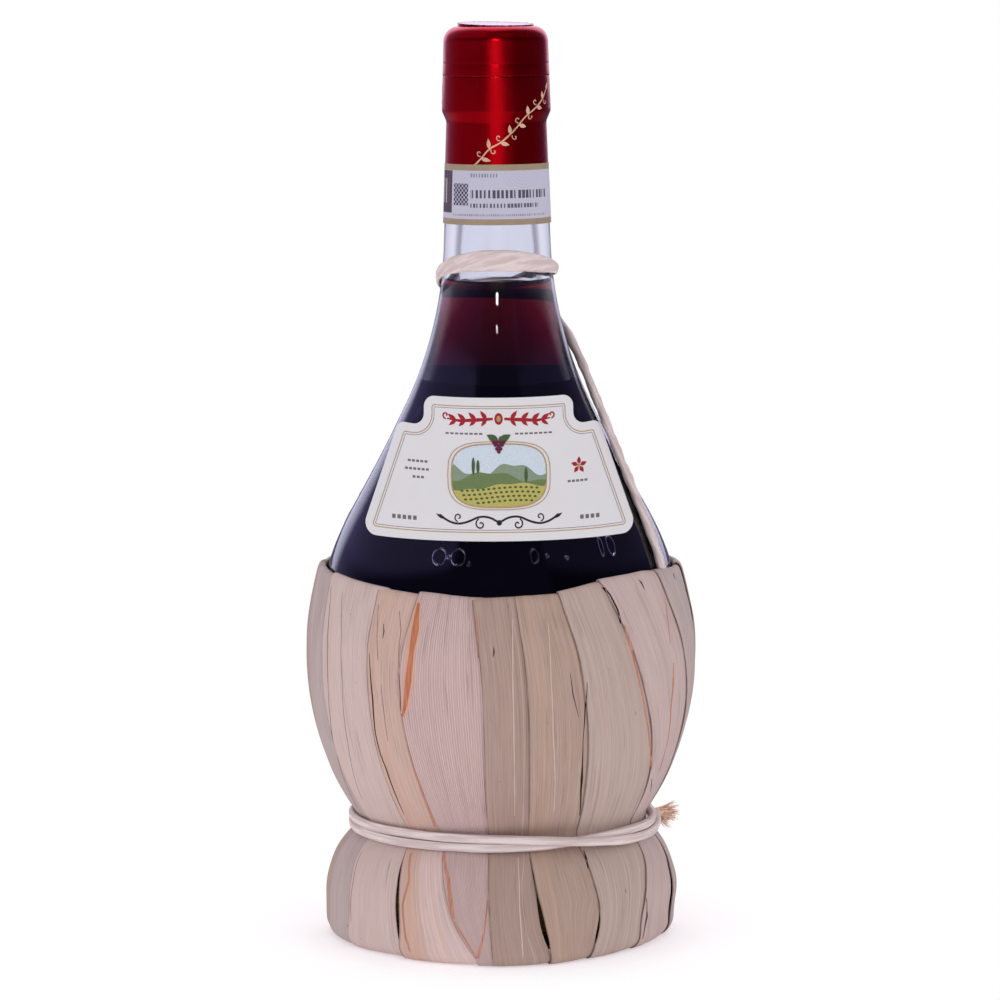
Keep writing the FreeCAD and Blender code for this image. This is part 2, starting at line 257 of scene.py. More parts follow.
def softRun(points, cut, steps=5):  # straight sides with each corner eased over a length
    made = [points[0]]
    for before, corner, after in zip(points, points[1:], points[2:]):
        one, two = Vector(before) - Vector(corner), Vector(after) - Vector(corner)
        start = Vector(corner) + one.normalized() * min(cut, one.length * 0.49)
        end = Vector(corner) + two.normalized() * min(cut, two.length * 0.49)
        for i in range(steps + 1):
            t = i / steps
            made.append(tuple((1 - t) ** 2 * start + 2 * t * (1 - t) * Vector(corner) + t * t * end))
    return made + [points[-1]]


def ease(x, low, high):
    t = min(max((x - low) / (high - low), 0.0), 1.0)
    return t * t * (3 - 2 * t)


def grainAt(x, y, z):
    return noise.noise(Vector((x, y, z)))


def polar(azimuth, r, z):  # azimuth from the label side; +90 is +X
    a = math.radians(azimuth)
    return (r * math.sin(a), -r * math.cos(a), z)


# the flask's side, as the solids have it
flask = dict(
    bellyRadius=51.8, bellyHeight=79.0, shoulderCurve=100.0, shoulderShare=0.87, bottomCurve=41.8,
    bottomGap=9.0, neckFoot=15.3, neckFootHeight=199.0, neckLength=38.3, neckTop=13.9, wall=2.55, throat=10.6,
    lip=15.25, lipTop=14.5, lipHeight=23.7, lipStep=2.9, lipRound=4.0, lipEase=0.7,
    mouthRound=1.0, bore=9.25, boreDepth=47.0,
)
taper = math.atan2(flask["neckFoot"] - flask["neckTop"], flask["neckLength"])
lipBottom = flask["neckFootHeight"] + flask["neckLength"]
mouthHeight = lipBottom + flask["lipHeight"]
bottomHeight = flask["bottomGap"] + flask["bottomCurve"]
bellyAbove = flask["bellyHeight"] - bottomHeight
lowerCurve = flask["bellyRadius"] ** 2 + bellyAbove**2 - flask["bottomCurve"] ** 2
lowerCurve /= 2 * (flask["bellyRadius"] - flask["bottomCurve"])
heel = math.degrees(math.atan2(-bellyAbove, lowerCurve - flask["bellyRadius"]))
neckWall = flask["neckFoot"] - flask["throat"]

swell = dict(most=1.7, low=92.0, full=106.0, top=146.0)  # a little fuller above the straw than the solid


def swellAt(z):
    return swell["most"] * ease(z, swell["low"], swell["full"]) * (1 - ease(z, swell["full"], swell["top"]))


def bodySide(bodyIn, neckIn):  # from the axis at the bottom to the foot of the neck
    bulge = flask["shoulderCurve"] - bodyIn
    drop = flask["bellyRadius"] - bodyIn - flask["neckFoot"] + neckIn
    rise = flask["neckFootHeight"] - flask["bellyHeight"]
    limit = drop**2 + rise**2 - 2 * drop * bulge
    limit /= 2 * (bulge * (1 - math.cos(taper)) + drop * math.cos(taper) - rise * math.sin(taper))
    curve = flask["shoulderShare"] * limit
    centre = (
        flask["neckFoot"] - neckIn + curve * math.cos(taper),
        flask["neckFootHeight"] + curve * math.sin(taper),
    )
    hub = (flask["bellyRadius"] - flask["shoulderCurve"], flask["bellyHeight"])
    dx, dz = centre[0] - hub[0], centre[1] - hub[1]
    slope = math.degrees(math.atan2(dz, dx) - math.acos((bulge + curve) / math.hypot(dx, dz)))
    low = (flask["bellyRadius"] - lowerCurve, flask["bellyHeight"])
    shoulder = arcRun(hub, bulge, 0, slope, 30)
    neck = arcRun(centre, curve, 180 + slope, 180 + math.degrees(taper), 30)
    cone = [tuple(Vector(shoulder[-1]).lerp(Vector(neck[0]), t / 10)) for t in range(11)]
    side = chain(
        arcRun((0, bottomHeight), flask["bottomCurve"] - bodyIn, -90, heel, 26),
        arcRun(low, lowerCurve - bodyIn, heel, 0, 20), shoulder, cone, neck,
    )
    return [(r + swellAt(z), z) for r, z in side]


def neckAt(z):
    return flask["neckFoot"] - (z - flask["neckFootHeight"]) * math.tan(taper)


def lipAt(z):
    return flask["lip"] - (flask["lip"] - flask["lipTop"]) * (z - lipBottom) / flask["lipHeight"]


outerSide = bodySide(0, 0)
neckTopHeight = lipBottom - flask["lipStep"]
outerHeights = [z for r, z in outerSide] + [neckTopHeight]
outerRadii = [r for r, z in outerSide] + [neckAt(neckTopHeight)]


def glassAt(z):
    return float(np.interp(z, outerHeights, outerRadii))


# the straw cover's side, as the solids have it
cover = dict(
    radius=55.75, height=82.3, rimHeight=107.6, rimCurve=88.4,
    waistRadius=40.95, waistHeight=33.3, waistLand=1.2, waistUpper=4.0, waistLower=3.0,
    footRadius=50.85, footHeight=11.3, footRows=(9.0, 6.8), footCorner=4.5, turnUnder=9.0,
    depth=0.32, flapDepth=1.35, flapLength=4.6, thickness=0.46,
)


def coverWave(radiusDrop, heightDrop, inner):
    both = (radiusDrop**2 + heightDrop**2) / (2 * radiusDrop)
    return both - inner, math.degrees(math.asin(heightDrop / both))


def coverRun():  # the middle of a blade from its flap inside the rim to the fold under the foot
    c = cover
    d = c["depth"]
    upper, lower = c["waistUpper"], c["waistLower"]
    waistTop, waistLow = c["waistHeight"] + c["waistLand"] / 2, c["waistHeight"] - c["waistLand"] / 2
    bellyCurve, bellyAngle = coverWave(c["radius"] - c["waistRadius"], c["height"] - waistTop, upper)
    footCurve, footAngle = coverWave(c["footRadius"] - c["waistRadius"], waistLow - c["footHeight"], lower)
    rimAngle = math.degrees(math.asin((c["rimHeight"] - c["height"]) / c["rimCurve"]))
    hub = (c["radius"] - c["rimCurve"], c["height"])
    turn = (c["flapDepth"] - d) / 2
    topAngle = rimAngle - math.degrees((turn + c["thickness"] / 2) / c["rimCurve"])
    flapAngle = topAngle - math.degrees(c["flapLength"] / c["rimCurve"])
    flap = arcRun(hub, c["rimCurve"] - c["flapDepth"], flapAngle, topAngle, 6)
    a = math.radians(topAngle)
    middle = c["rimCurve"] - (d + c["flapDepth"]) / 2
    foldHub = (hub[0] + middle * math.cos(a), hub[1] + middle * math.sin(a))
    fold = arcRun(foldHub, turn, topAngle + 180, topAngle, 10)
    outside = chain(
        arcRun(hub, c["rimCurve"] - d, topAngle, 0, 22),
        arcRun((c["radius"] - bellyCurve, c["height"]), bellyCurve - d, 0, -bellyAngle, 40),
        arcRun((c["waistRadius"] + upper, waistTop), upper + d, 180 - bellyAngle, 180, 6),
        arcRun((c["waistRadius"] + lower, waistLow), lower + d, 180, 180 + footAngle, 6),
        arcRun((c["footRadius"] - footCurve, c["footHeight"]), footCurve - d, footAngle, 0, 18),
        [(c["footRadius"] - d, z) for z in (*c["footRows"], c["footCorner"])],
        arcRun((c["footRadius"] - c["footCorner"], c["footCorner"]), c["footCorner"] - d, 0, -90, 12),
    )
    under = [(c["footRadius"] - c["footCorner"] - c["turnUnder"] * i / 6, d) for i in range(1, 7)]
    return chain(flap, fold, outside, under), len(flap) + len(fold) - 1, len(outside)


coverLine, outsideStart, outsideCount = coverRun()
coverWay = []
for i in range(len(coverLine)):
    before, after = coverLine[max(i - 1, 0)], coverLine[min(i + 1, len(coverLine) - 1)]
    way = (Vector(after) - Vector(before)).normalized()
    coverWay.append((-way.y, way.x))
coverLength = runAlong(coverLine)
outsideEnd = outsideStart + outsideCount - 1
outsideHeights = [coverLine[i][1] for i in range(outsideEnd, outsideStart - 1, -1)]


def outsideIndex(z):  # a place along the line, in rows, for a height on the outside
    rows = list(range(outsideEnd, outsideStart - 1, -1))
    return float(np.interp(z, outsideHeights, rows))


# camera, at the photograph's angle
view = dict(target=(0.00023, 0.0, 0.1254), distance=1.337, elevation=6.6, width=12.3, roll=-0.43)
lens = bpy.data.cameras.new("camera")
lens.sensor_fit = "HORIZONTAL"
lens.angle = math.radians(view["width"])
lens.clip_start, lens.clip_end = 0.01, 50.0
camera = bpy.data.objects.new("camera", lens)
bpy.context.scene.collection.objects.link(camera)
tilt = math.radians(view["elevation"])
camera.location = Vector(view["target"]) + Vector((0, -math.cos(tilt), math.sin(tilt))) * view["distance"]
facing = (Vector(view["target"]) - camera.location).to_track_quat("-Z", "Y").to_matrix().to_4x4()
leaning = Matrix.Rotation(math.radians(view["roll"]), 4, "Z")
camera.matrix_world = Matrix.Translation(camera.location) @ facing @ leaning
bpy.context.scene.camera = camera
bpy.context.scene.view_settings.view_transform = "Standard"
print("camera set")


# cords of twisted paper
def cordFinish(name, light, dark, slant):  # slant is how steeply the creases wind
    made, root, shader = newFinish(name, {"Roughness": 0.82, "Specular IOR Level": 0.25})
    u, v = root.uv()
    crease = root.noise(u * 0.55 + v * slant, u * 0.1 - v * 0.05, 3.0, 4.0, 0.6)
    fine = root.noise(u * 3.0 + v * slant * 5, v * 0.25 - u * 0.4, 8.0, 3.0, 0.6)
    fold = crease.step(0.40, 0.60)
    tone = (fold * 0.7 + fine * 0.3).mix(dark, light)
    feed(shader, Base_Color=tone, Normal=(crease * 0.6 + fine * 0.4).bump(0.5, 0.0004))
    return made


cordPaper = cordFinish("cordPaper", paint(220, 204, 205), paint(188, 168, 169), 0.16)
waistPaper = cordFinish("waistPaper", paint(221, 206, 206), paint(190, 171, 171), 0.03)


def routeLine(name, points):  # points of a smooth curve with these as its control points
    curve = bpy.data.curves.new(name, "CURVE")
    curve.dimensions = "3D"
    spline = curve.splines.new("NURBS")
    spline.points.add(len(points) - 1)
    for spot, place in zip(spline.points, points):
        spot.co = (place[0] * mm, place[1] * mm, place[2] * mm, 1.0)
    spline.order_u = 3
    spline.use_endpoint_u = True
    curve.resolution_u = 12
    holder = bpy.data.objects.new(name, curve)
    bpy.context.scene.collection.objects.link(holder)
    bpy.context.view_layer.update()
    line = bpy.data.meshes.new_from_object(holder)
    places = [Vector(v.co) / mm for v in line.vertices]
    bpy.data.objects.remove(holder)
    bpy.data.curves.remove(curve)
    bpy.data.meshes.remove(line)
    return places


sideWidth = 0.6  # flat measure of one side of a tube


def tubeOn(line, sides, section, outward=None):  # section(spot, run, angle) gives across and out
    points, faces, uv = [], [], []
    run = runAlong(line)
    last = len(line) - 1
    for i, spot in enumerate(line):
        way = (line[min(i + 1, last)] - line[max(i - 1, 0)]).normalized()
        out = outward(spot) if outward else Vector((spot.x, spot.y, 0))
        out = (out - way * out.dot(way)).normalized()
        across = out.cross(way)
        for j in range(sides):
            a, o = section(spot, run[i], 2 * math.pi * j / sides)
            points.append(tuple(spot + across * a + out * o))
    for i in range(last):
        for j in range(sides):
            k = (j + 1) % sides
            left, right = j * sideWidth, (j + 1) * sideWidth
            faces.append([i * sides + j, (i + 1) * sides + j, (i + 1) * sides + k, i * sides + k])
            uv.append([(left, run[i]), (left, run[i + 1]), (right, run[i + 1]), (right, run[i])])
    first = list(range(sides))
    for i, ring in ((0, first), (last, [last * sides + j for j in first[::-1]])):
        middle = len(points)
        points.append(tuple(line[i]))
        for j in range(sides):
            faces.append([ring[j], ring[(j + 1) % sides], middle])
            uv.append([(0.0, run[i])] * 3)
    return points, faces, uv


def roundTube(line, sides, size, outward=None):  # size(run, angle) gives the radius
    def section(spot, run, angle):
        radius = size(run, angle)
        return radius * math.cos(angle), radius * math.sin(angle)
    return tubeOn(line, sides, section, outward)


sling = dict(
    gap=0.2, cord=2.5, tuck=0.9, strap=1.75, strapThick=1.2, side=1.7, front=3.0, thick=0.8,
    loopLow=168.0, loopHigh=186.0, twist=8.5, relief=0.10,
)
slingRoute = [  # azimuth, height, extra stand-off; the solid's points, moved a little as the photograph shows
    (66.0, 105.5, 0.0), (66.0, 109.5, 0.0), (67.5, 119.3, 0.0), (71.5, 131.1, 0.0), (79.0, 143.0, 0.2),
    (86.0, 154.8, 0.7), (97.0, 166.1, 0.9), (116.0, 176.4, 0.5), (150.0, 182.6, 0.0), (180.0, 183.4, 0.0),
    (210.0, 183.7, 0.0), (240.0, 186.2, 0.0), (270.0, 190.2, 0.0), (300.0, 193.4, 0.0), (330.0, 195.0, 0.0),
    (360.0, 195.6, 0.0), (390.0, 195.0, 0.0), (420.0, 193.6, 0.0), (450.0, 192.1, 0.0), (480.0, 191.3, 0.0),
    (510.0, 188.5, 0.5), (540.0, 185.4, 2.3), (566.0, 182.8, 3.0), (583.0, 177.8, 1.6), (591.0, 166.1, 0.9),
    (596.5, 154.3, 0.5), (601.0, 142.5, 0.1), (605.5, 130.6, 0.0), (608.5, 119.3, 0.0), (611.0, 109.5, 0.0),
    (611.5, 105.5, 0.0),
]


def slingSpot(azimuth, z, off):
    r = glassAt(z) + sling["cord"] / 2 + sling["gap"] + off
    if z < cover["rimHeight"]:
        hub = cover["radius"] - cover["rimCurve"]
        inside = hub + math.sqrt((cover["rimCurve"] - sling["tuck"]) ** 2 - (z - cover["height"]) ** 2)
        r = (glassAt(z) + inside) / 2
    return polar(azimuth, r, z)


slingLine = routeLine("slingRoute", [slingSpot(*row) for row in slingRoute])


def slingSection(spot, run, angle):  # a flat, folded strip, broadest where it crosses the front of the neck
    facing = max(0.0, -spot.y / math.hypot(spot.x, spot.y))
    loop = ease(spot.z, sling["loopLow"], sling["loopHigh"])
    half = sling["side"] + (sling["front"] - sling["side"]) * facing**1.5
    half = sling["strap"] + (half - sling["strap"]) * loop
    half *= 1 + 0.08 * grainAt(run * 0.09, 4.0, 1.0)
    across, out = math.cos(angle), math.sin(angle)
    lines = math.sin(2 * angle + run * 2 * math.pi / sling["twist"])
    lines += 0.6 * math.sin(5 * angle - run * 1.9 + 3 * grainAt(run * 0.2, 0.0, 5.0))
    lump = sling["relief"] * lines + 0.2 * grainAt(across * 1.2 + 7, run * 0.35, out)
    thick = sling["strapThick"] + (sling["thick"] - sling["strapThick"]) * loop
    thick *= 1 + 0.2 * grainAt(run * 0.21, 9.0, 2.0)
    return across * (half + 0.5 * lump), out * thick + out * lump * 0.9


slingMetres = [tuple(v * mm for v in spot) for spot in slingLine]
slingLong = runAlong(slingLine)[-1]
slingPiece = addPiece(
    "slingBand", tubeOn(slingLine, 28, slingSection), cordPaper, ["sling_cord"], crease=70)
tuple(slingMetres[0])

waist = dict(radius=43.3, spread=0.9665, knot=115.0, knotRadius=47.1, knotDrop=2.5, half=1.3, square=0.72)
waistRoute = [  # turn from the knot, height, extra stand-off; lower towards the knot than the solid
    (4.0, 30.6, 3.8), (14.0, 30.8, 1.6), (30.0, 31.6, 0.0), (60.0, 32.0, 0.0), (90.0, 31.9, 0.0),
    (120.0, 32.0, 0.0), (150.0, 32.1, 0.0), (180.0, 32.0, 0.0), (210.0, 31.9, 0.0), (240.0, 32.0, 0.0),
    (258.0, 32.2, 0.0), (276.0, 33.0, 0.0), (294.0, 33.4, 0.0), (320.0, 33.0, 0.0), (345.0, 33.0, 0.0),
    (370.0, 34.2, 0.0), (400.0, 34.7, 0.0), (430.0, 34.6, 0.0), (460.0, 34.5, 0.0), (490.0, 34.6, 0.0),
    (520.0, 34.7, 0.0), (550.0, 34.6, 0.0), (580.0, 34.7, 0.0), (604.0, 34.6, 0.6), (622.0, 33.9, 1.7),
    (638.0, 32.6, 2.0), (656.0, 31.2, 1.2), (680.0, 30.2, 0.2), (704.0, 30.2, 1.6), (716.0, 30.4, 3.8),
]


def waistSpot(turn, z, off):
    return polar(waist["knot"] + turn, (waist["radius"] + off) / waist["spread"], z)


waistLine = routeLine("waistRoute", [waistSpot(*row) for row in waistRoute])


def waistSection(spot, run, angle):  # a folded strip, hardly twisted
    ply = 0.04 * math.cos(3 * angle - run * 0.09) + 0.08 * math.cos(5 * angle - run * 0.05)
    ply += 0.10 * grainAt(math.cos(angle) * 1.5, math.sin(angle) * 1.5, run * 0.11)
    size = waist["half"] * (0.96 + 0.06 * grainAt(run * 0.12, 2.0, 3.0)) + ply
    across, out = [math.copysign(abs(v) ** waist["square"], v) for v in (math.cos(angle), math.sin(angle))]
    return across * size * 0.98, out * size * 0.80


addPiece("waistBinding", tubeOn(waistLine, 28, waistSection), waistPaper, ["waist_cord"], crease=70)
print("cords", round(slingLong), round(runAlong(waistLine)[-1]))

knot = dict(along=2.1, up=1.75, out=1.0, cord=1.02, ply=0.09, steps=120)
knotMiddle = Vector(polar(waist["knot"], waist["knotRadius"], cover["waistHeight"] - waist["knotDrop"]))
knotSide = Vector(polar(waist["knot"] + 90, 1, 0))
knotOut = Vector(polar(waist["knot"], 1, 0))


def knotSpot(t):  # an overhand knot drawn tight
    a, b, c = math.sin(t) + 2 * math.sin(2 * t), math.cos(t) - 2 * math.cos(2 * t), -math.sin(3 * t)
    up = Vector((0, 0, b / 3 * knot["up"]))
    return knotMiddle + knotSide * a / 3 * knot["along"] + up + knotOut * c * knot["out"]


def knotSize(run, angle):
    return knot["cord"] * (1 + knot["ply"] * math.cos(2 * angle + run))


knotLine = [knotSpot(2 * math.pi * i / knot["steps"]) for i in range(knot["steps"] + 1)]
knotTube = roundTube(knotLine, 16, knotSize, outward=lambda spot: spot - knotMiddle)
addPiece("waistKnot", knotTube, cordPaper, ["waist_knot"], crease=70)

tails = dict(
    fibres=170, length=8.2, lead=1.2, root=1.25, fan=0.36, curl=0.9, thick=0.17, thinning=0.75, steps=6,
    starts=((-1.5, -0.08), (1.5, -0.42)), facing=(0.3, 0.2, 1.0),
)


def tailFinish():
    made, root, shader = newFinish("tailFibre", {"Roughness": 0.8, "Specular IOR Level": 0.2})
    x, y, z = root.place()
    grain = root.noise(x * 900, y * 900, z * 900, 2.0)
    feed(shader, Base_Color=grain.step(0.35, 0.65).mix(paint(206, 164, 140), paint(240, 210, 192)))
    return made


parts = []
for along, rise in tails["starts"]:
    way = (knotOut + Vector((0, 0, rise))).normalized()
    start = knotMiddle + knotSide * along + way * tails["lead"]
    for count in range(tails["fibres"]):
        turn, reach = dice.uniform(0, 2 * math.pi), math.sqrt(dice.random())
        sideways = (knotSide * math.cos(turn) + Vector((0, 0, math.sin(turn)))) * reach
        long = tails["length"] * dice.uniform(0.72, 1.0)
        bend = (knotSide * dice.uniform(-1, 1) + Vector((0, 0, dice.uniform(-1.0, 0.6)))) * tails["curl"]
        spine = []
        for step in range(tails["steps"] + 1):
            t = step / tails["steps"]
            spread = sideways * (tails["root"] * (0.55 + 0.5 * t) + tails["fan"] * long * t * t * 0.6)
            spine.append(start + way * long * t + spread + bend * t * t)
        thin = tails["thick"] * dice.uniform(0.7, 1.2)
        fibre = roundTube(
            spine, 5, lambda run, angle: thin * (1 - tails["thinning"] * run / long),
            outward=lambda spot: Vector(tails["facing"]))
        parts.append((0, fibre))
addPiece("waistTails", joined(parts), tailFinish(), ["knot_tails"])
print("knot and tails")


# glass flask and wine
def glassFinish():
    made, root, shader = newFinish("flaskGlass", {
        "Base Color": (0.93, 0.935, 0.965, 1.0), "IOR": 1.5, "Transmission Weight": 1.0})
    x, y, z = root.place()
    sway = root.noise(x * 38, y * 38, z * 22, 1.5, 0.4)
    smear = root.noise(x * 120, y * 120, z * 60, 3.0, 0.6).step(0.55, 0.9) * 0.03
    feed(shader, Roughness=smear, Normal=sway.bump(0.05, 0.002))
    return made


flaskGlass = glassFinish()


def glassProfile():
    f = flask
    roundAt = mouthHeight - f["lipRound"]
    inner = bodySide(f["wall"], neckWall)
    lipCorners = [outerSide[-1], (neckAt(neckTopHeight), neckTopHeight), (f["lip"], lipBottom)]
    lipSide = softRun(lipCorners + [(lipAt(roundAt), roundAt)], f["lipEase"])
    return chain(
        outerSide, lipSide,
        arcRun((lipAt(roundAt) - f["lipRound"], roundAt), f["lipRound"], 0, 90, 8),
        arcRun((f["bore"] + f["mouthRound"], mouthHeight - f["mouthRound"]), f["mouthRound"], 90, 180, 6),
        [(f["bore"], mouthHeight - f["boreDepth"])], inner[::-1],
    )


def onAxis(side):  # the points that meet the axis, put exactly on it
    return [(r if r > 1e-4 else 0.0, z) for r, z in side]


flaskPiece = addPiece(
    "flaskBody", lathe(onAxis(glassProfile()), 160, 50.0), flaskGlass, ["glass_flask"], crease=60)

marksCast = dict(height=114.6, size=0.29, sunk=0.09, steps=24)  # raised rings and dots under the label


def castLine(turn, wide, tall, rise):  # an oval on the glass
    made = []
    for i in range(marksCast["steps"] + 1):
        a = 2 * math.pi * i / marksCast["steps"]
        z = marksCast["height"] + rise + tall / 2 * math.sin(a)
        r = glassAt(z) - marksCast["sunk"]
        made.append(Vector(polar(turn + math.degrees(wide / 2 * math.cos(a) / r), r, z)))
    return made


castRow = [  # turn, width, height, rise
    (-21.0, 4.0, 4.4, 0.0), (-17.6, 0.8, 0.8, 0.0), (-14.2, 4.0, 4.4, 0.0), (-10.4, 0.8, 0.8, -1.8),
    (12.0, 2.2, 3.8, 0.2), (16.5, 0.8, 0.8, 0.2), (23.5, 0.8, 0.8, -0.6),
    (38.0, 1.4, 5.0, 1.6), (42.6, 2.8, 5.2, 1.6),
]
parts = [(0, roundTube(castLine(*row), 8, lambda run, angle: marksCast["size"])) for row in castRow]
addPiece("mouldMarks", joined(parts), flaskGlass)

wine = dict(
    level=188.2, clearTo=160.0, press=0.07, slip=0.02, lap=0.3, red=112.0, green=270.0, blue=235.0,
    edge=((0.0, 0.9), (0.35, 0.45), (0.9, 0.15), (1.8, 0.0)),  # how the surface climbs the glass: in, up
)


def darkWineFinish():
    made, root, shader = newFinish("wineDeepPaintedTint", {"Roughness": 0.35, "Specular IOR Level": 0.0})
    x, y, z = root.place()
    wineMottle = root.noise(x * 60, y * 60, z * 20, 3.0)
    # the wine below the clear part is opaque: its navy tint is painted reflection of the blue-grey room, and
    # the redder band at its top is painted light shining through the wine
    deep = wineMottle.mix((0.0024, 0.0022, 0.0065, 1.0), (0.0036, 0.0032, 0.0090, 1.0))
    feed(shader, Base_Color=(z.step(0.150, 0.162) * 0.5).mix(deep, (0.0060, 0.0020, 0.0060, 1.0)))
    return made


def clearWineFinish():
    made, root = newFinish("wineThin", {
        "Base Color": (1.0, 1.0, 1.0, 1.0), "IOR": 1.34, "Transmission Weight": 1.0, "Roughness": 0.0})[:2]
    soaked = [wine[key] for key in ("red", "green", "blue")]
    full = max(soaked) * 1.03
    tint = [1 - share / full for share in soaked]
    cloud = root.node("VolumeAbsorption", None, {"Color": (*tint, 1.0), "Density": full})
    output = [n for n in made.node_tree.nodes if n.bl_idname == "ShaderNodeOutputMaterial"][0]
    made.node_tree.links.new(cloud.socket, output.inputs["Volume"])
    return made


wineSide = onAxis(bodySide(flask["wall"] - wine["press"], neckWall - wine["press"]))


def wineRadius(z):
    return float(np.interp(z, [p[1] for p in wineSide], [p[0] for p in wineSide]))


wineTop, clearTo = wine["level"], wine["clearTo"]
deepSide = [(max(r - wine["slip"], 0.0), z) for r, z in wineSide if z < clearTo]
deepSide += [(wineRadius(clearTo) - wine["slip"], clearTo), (0.0, clearTo)]
addPiece("wineBelly", lathe(deepSide, 128, 48.0), darkWineFinish(), ["wine"])

climb = wine["edge"][0][1]
rim = wineRadius(wineTop + climb)
thinLow = clearTo - wine["lap"]
thinSide = [(0.0, thinLow), (wineRadius(thinLow), thinLow)]
thinSide += [(r, z) for r, z in wineSide if clearTo + wine["lap"] < z < wineTop + climb - 0.1]
thinSide += [(rim - inward, wineTop + up) for inward, up in wine["edge"]]
thinSide += [(rim * 0.5, wineTop), (0.0, wineTop)]
addPiece("wineNeck", lathe(thinSide, 128, 15.0), clearWineFinish(), crease=80)
print("glass and wine")


# cork
cork = dict(length=44.0, sink=0.4, radius=9.2, chamfer=0.8, pits=0.34, rows=60, stain=(217.5, 223.5))


def corkFinish():
    made, root, shader = newFinish("corkBark", {"Roughness": 0.85, "Specular IOR Level": 0.25})
    x, y, z = root.place()
    patch = root.noise(x * 260, y * 260, z * 150, 4.0, 0.6)
    pores = root.noise(x * 700, y * 700, z * 260, 3.0, 0.7)
    hole = pores.step(0.62, 0.70)
    tone = patch.step(0.3, 0.7).mix(paint(184, 138, 98), paint(216, 176, 132))
    tone = hole.mix(tone, paint(110, 72, 48))
    stain = (1.0 - z.step(cork["stain"][0] * mm, cork["stain"][1] * mm)) * 0.75  # wine on the lower end
    tone = stain.mix(tone, paint(92, 30, 42))
    feed(shader, Base_Color=tone, Normal=(patch * 0.5 - hole * 0.6).bump(0.6, 0.0006))
    return made


corkTop = mouthHeight - cork["sink"]
corkLow = corkTop - cork["length"]
corkRise = (cork["length"] - 2 * cork["chamfer"]) / cork["rows"]
corkWall = [(cork["radius"], corkLow + cork["chamfer"] + i * corkRise) for i in range(cork["rows"] + 1)]
corkEnd = [(cork["radius"] - cork["chamfer"]) * i / 8 for i in range(9)]
corkSide = [(r, corkLow) for r in corkEnd] + corkWall + [(r, corkTop) for r in corkEnd[::-1]]


def corkPits(i, a, r, z):  # pits only go inwards, so the cork keeps its clearance
    if r < cork["radius"] - 0.01:
        return r, z
    deep = max(0.0, grainAt(math.sin(a) * 6.5, math.cos(a) * 6.5, z * 0.42) - 0.22) * 2.2
    return r - cork["pits"] * min(deep, 1.0), z


corkShape = lathe(corkSide, 120, cork["radius"], corkPits)
addPiece("corkStopper", corkShape, corkFinish(), ["cork"], body="cork")
print("cork")


# foil capsule
foil = dict(
    clear=0.1, thick=0.2, tear=247.3, gap=0.08, end=213.0, gauge=15.2, sides=200, ease=0.6,
    groove=251.0, grooveDeep=0.009, grooveHalf=0.4, discRise=0.16, discLean=(0.42, 0.22), ragged=(0.12, 0.10),
)


def foilFinish(name, base, deep, metal=1.0):
    made, root, shader = newFinish(name, {"Metallic": metal})
    u, v = root.uv()
    brush = root.noise(u * 2.4, v * 0.12, 2.0, 3.0)
    cloud = root.noise(u * 0.16, v * 0.16, 6.0, 2.0)
    dent = root.noise(u * 0.45, v * 0.22, 1.0, 2.0, 0.4)
    tone = (brush * 0.55 + cloud * 0.45).step(0.3, 0.7).mix(deep, base)
    rough = 0.20 + 0.08 * cloud + 0.03 * brush
    feed(shader, Base_Color=tone, Roughness=rough, Normal=dent.bump(0.08, 0.0005))
    return made


redFoil = foilFinish("redFoil", (0.58, 0.0024, 0.008, 1.0), (0.50, 0.002, 0.007, 1.0))
capDisc = foilFinish("capDisc", paint(226, 196, 192), paint(196, 160, 158))
goldLeaf = foilFinish("goldLeaf", paint(222, 186, 158), paint(196, 150, 122), 0.2)


def foilRadius(z):  # the outside of the foil at a height
    if z >= lipBottom:
        r = lipAt(z)
    elif z >= neckTopHeight:
        t = (lipBottom - z) / flask["lipStep"]
        r = lipAt(lipBottom) * (1 - t) + neckAt(neckTopHeight) * t
    else:
        r = neckAt(z)
    return r + foil["clear"] + foil["thick"]


def foilSpot(z, out=0.0):
    return (foilRadius(z) + out, z)


def capProfile():  # outside up to the middle of the disc, inside down to the hem, and where the disc starts
    roundAt = mouthHeight - flask["lipRound"]
    hub = (lipAt(roundAt) - flask["lipRound"], roundAt)
    tear, middle, half = foil["tear"], foil["groove"], foil["grooveHalf"]
    sideRun = [foilSpot(tear, -0.05), (foilRadius(tear) + 0.02, tear + 0.15), foilSpot(tear + 0.5, 0.02)]
    sideRun.append(foilSpot(middle - half))
    for i in range(1, 8):
        deep = foil["grooveDeep"] * math.sin(math.pi * i / 8)
        sideRun.append((foilRadius(middle) - deep, middle - half + 2 * half * i / 8))
    sideRun += [foilSpot(middle + half), foilSpot(roundAt)]
    outer = chain(sideRun, arcRun(hub, flask["lipRound"] + foil["clear"] + foil["thick"], 0, 90, 14))
    edge, top = outer[-1]
    disc = top + foil["discRise"]
    crown = [(edge + 0.30, top + 0.02), (edge + 0.20, top + 0.30), (edge - 0.15, top + 0.34)]
    crown += [(edge - 0.5, top + 0.18), (edge * 0.75, disc), (edge * 0.5, disc), (edge * 0.25, disc)]
    inner = arcRun(hub, flask["lipRound"] + foil["clear"], 90, 0, 10)
    hem = foilSpot(tear, -foil["thick"])
    outside = chain(outer[:-1], crown, [(0.0, disc)])
    return outside, chain([(0.0, top - foil["thick"])], inner, [hem]), len(outer) - 1


capOut, capIn, crownStart = capProfile()
crownEnd = len(capOut) - 1


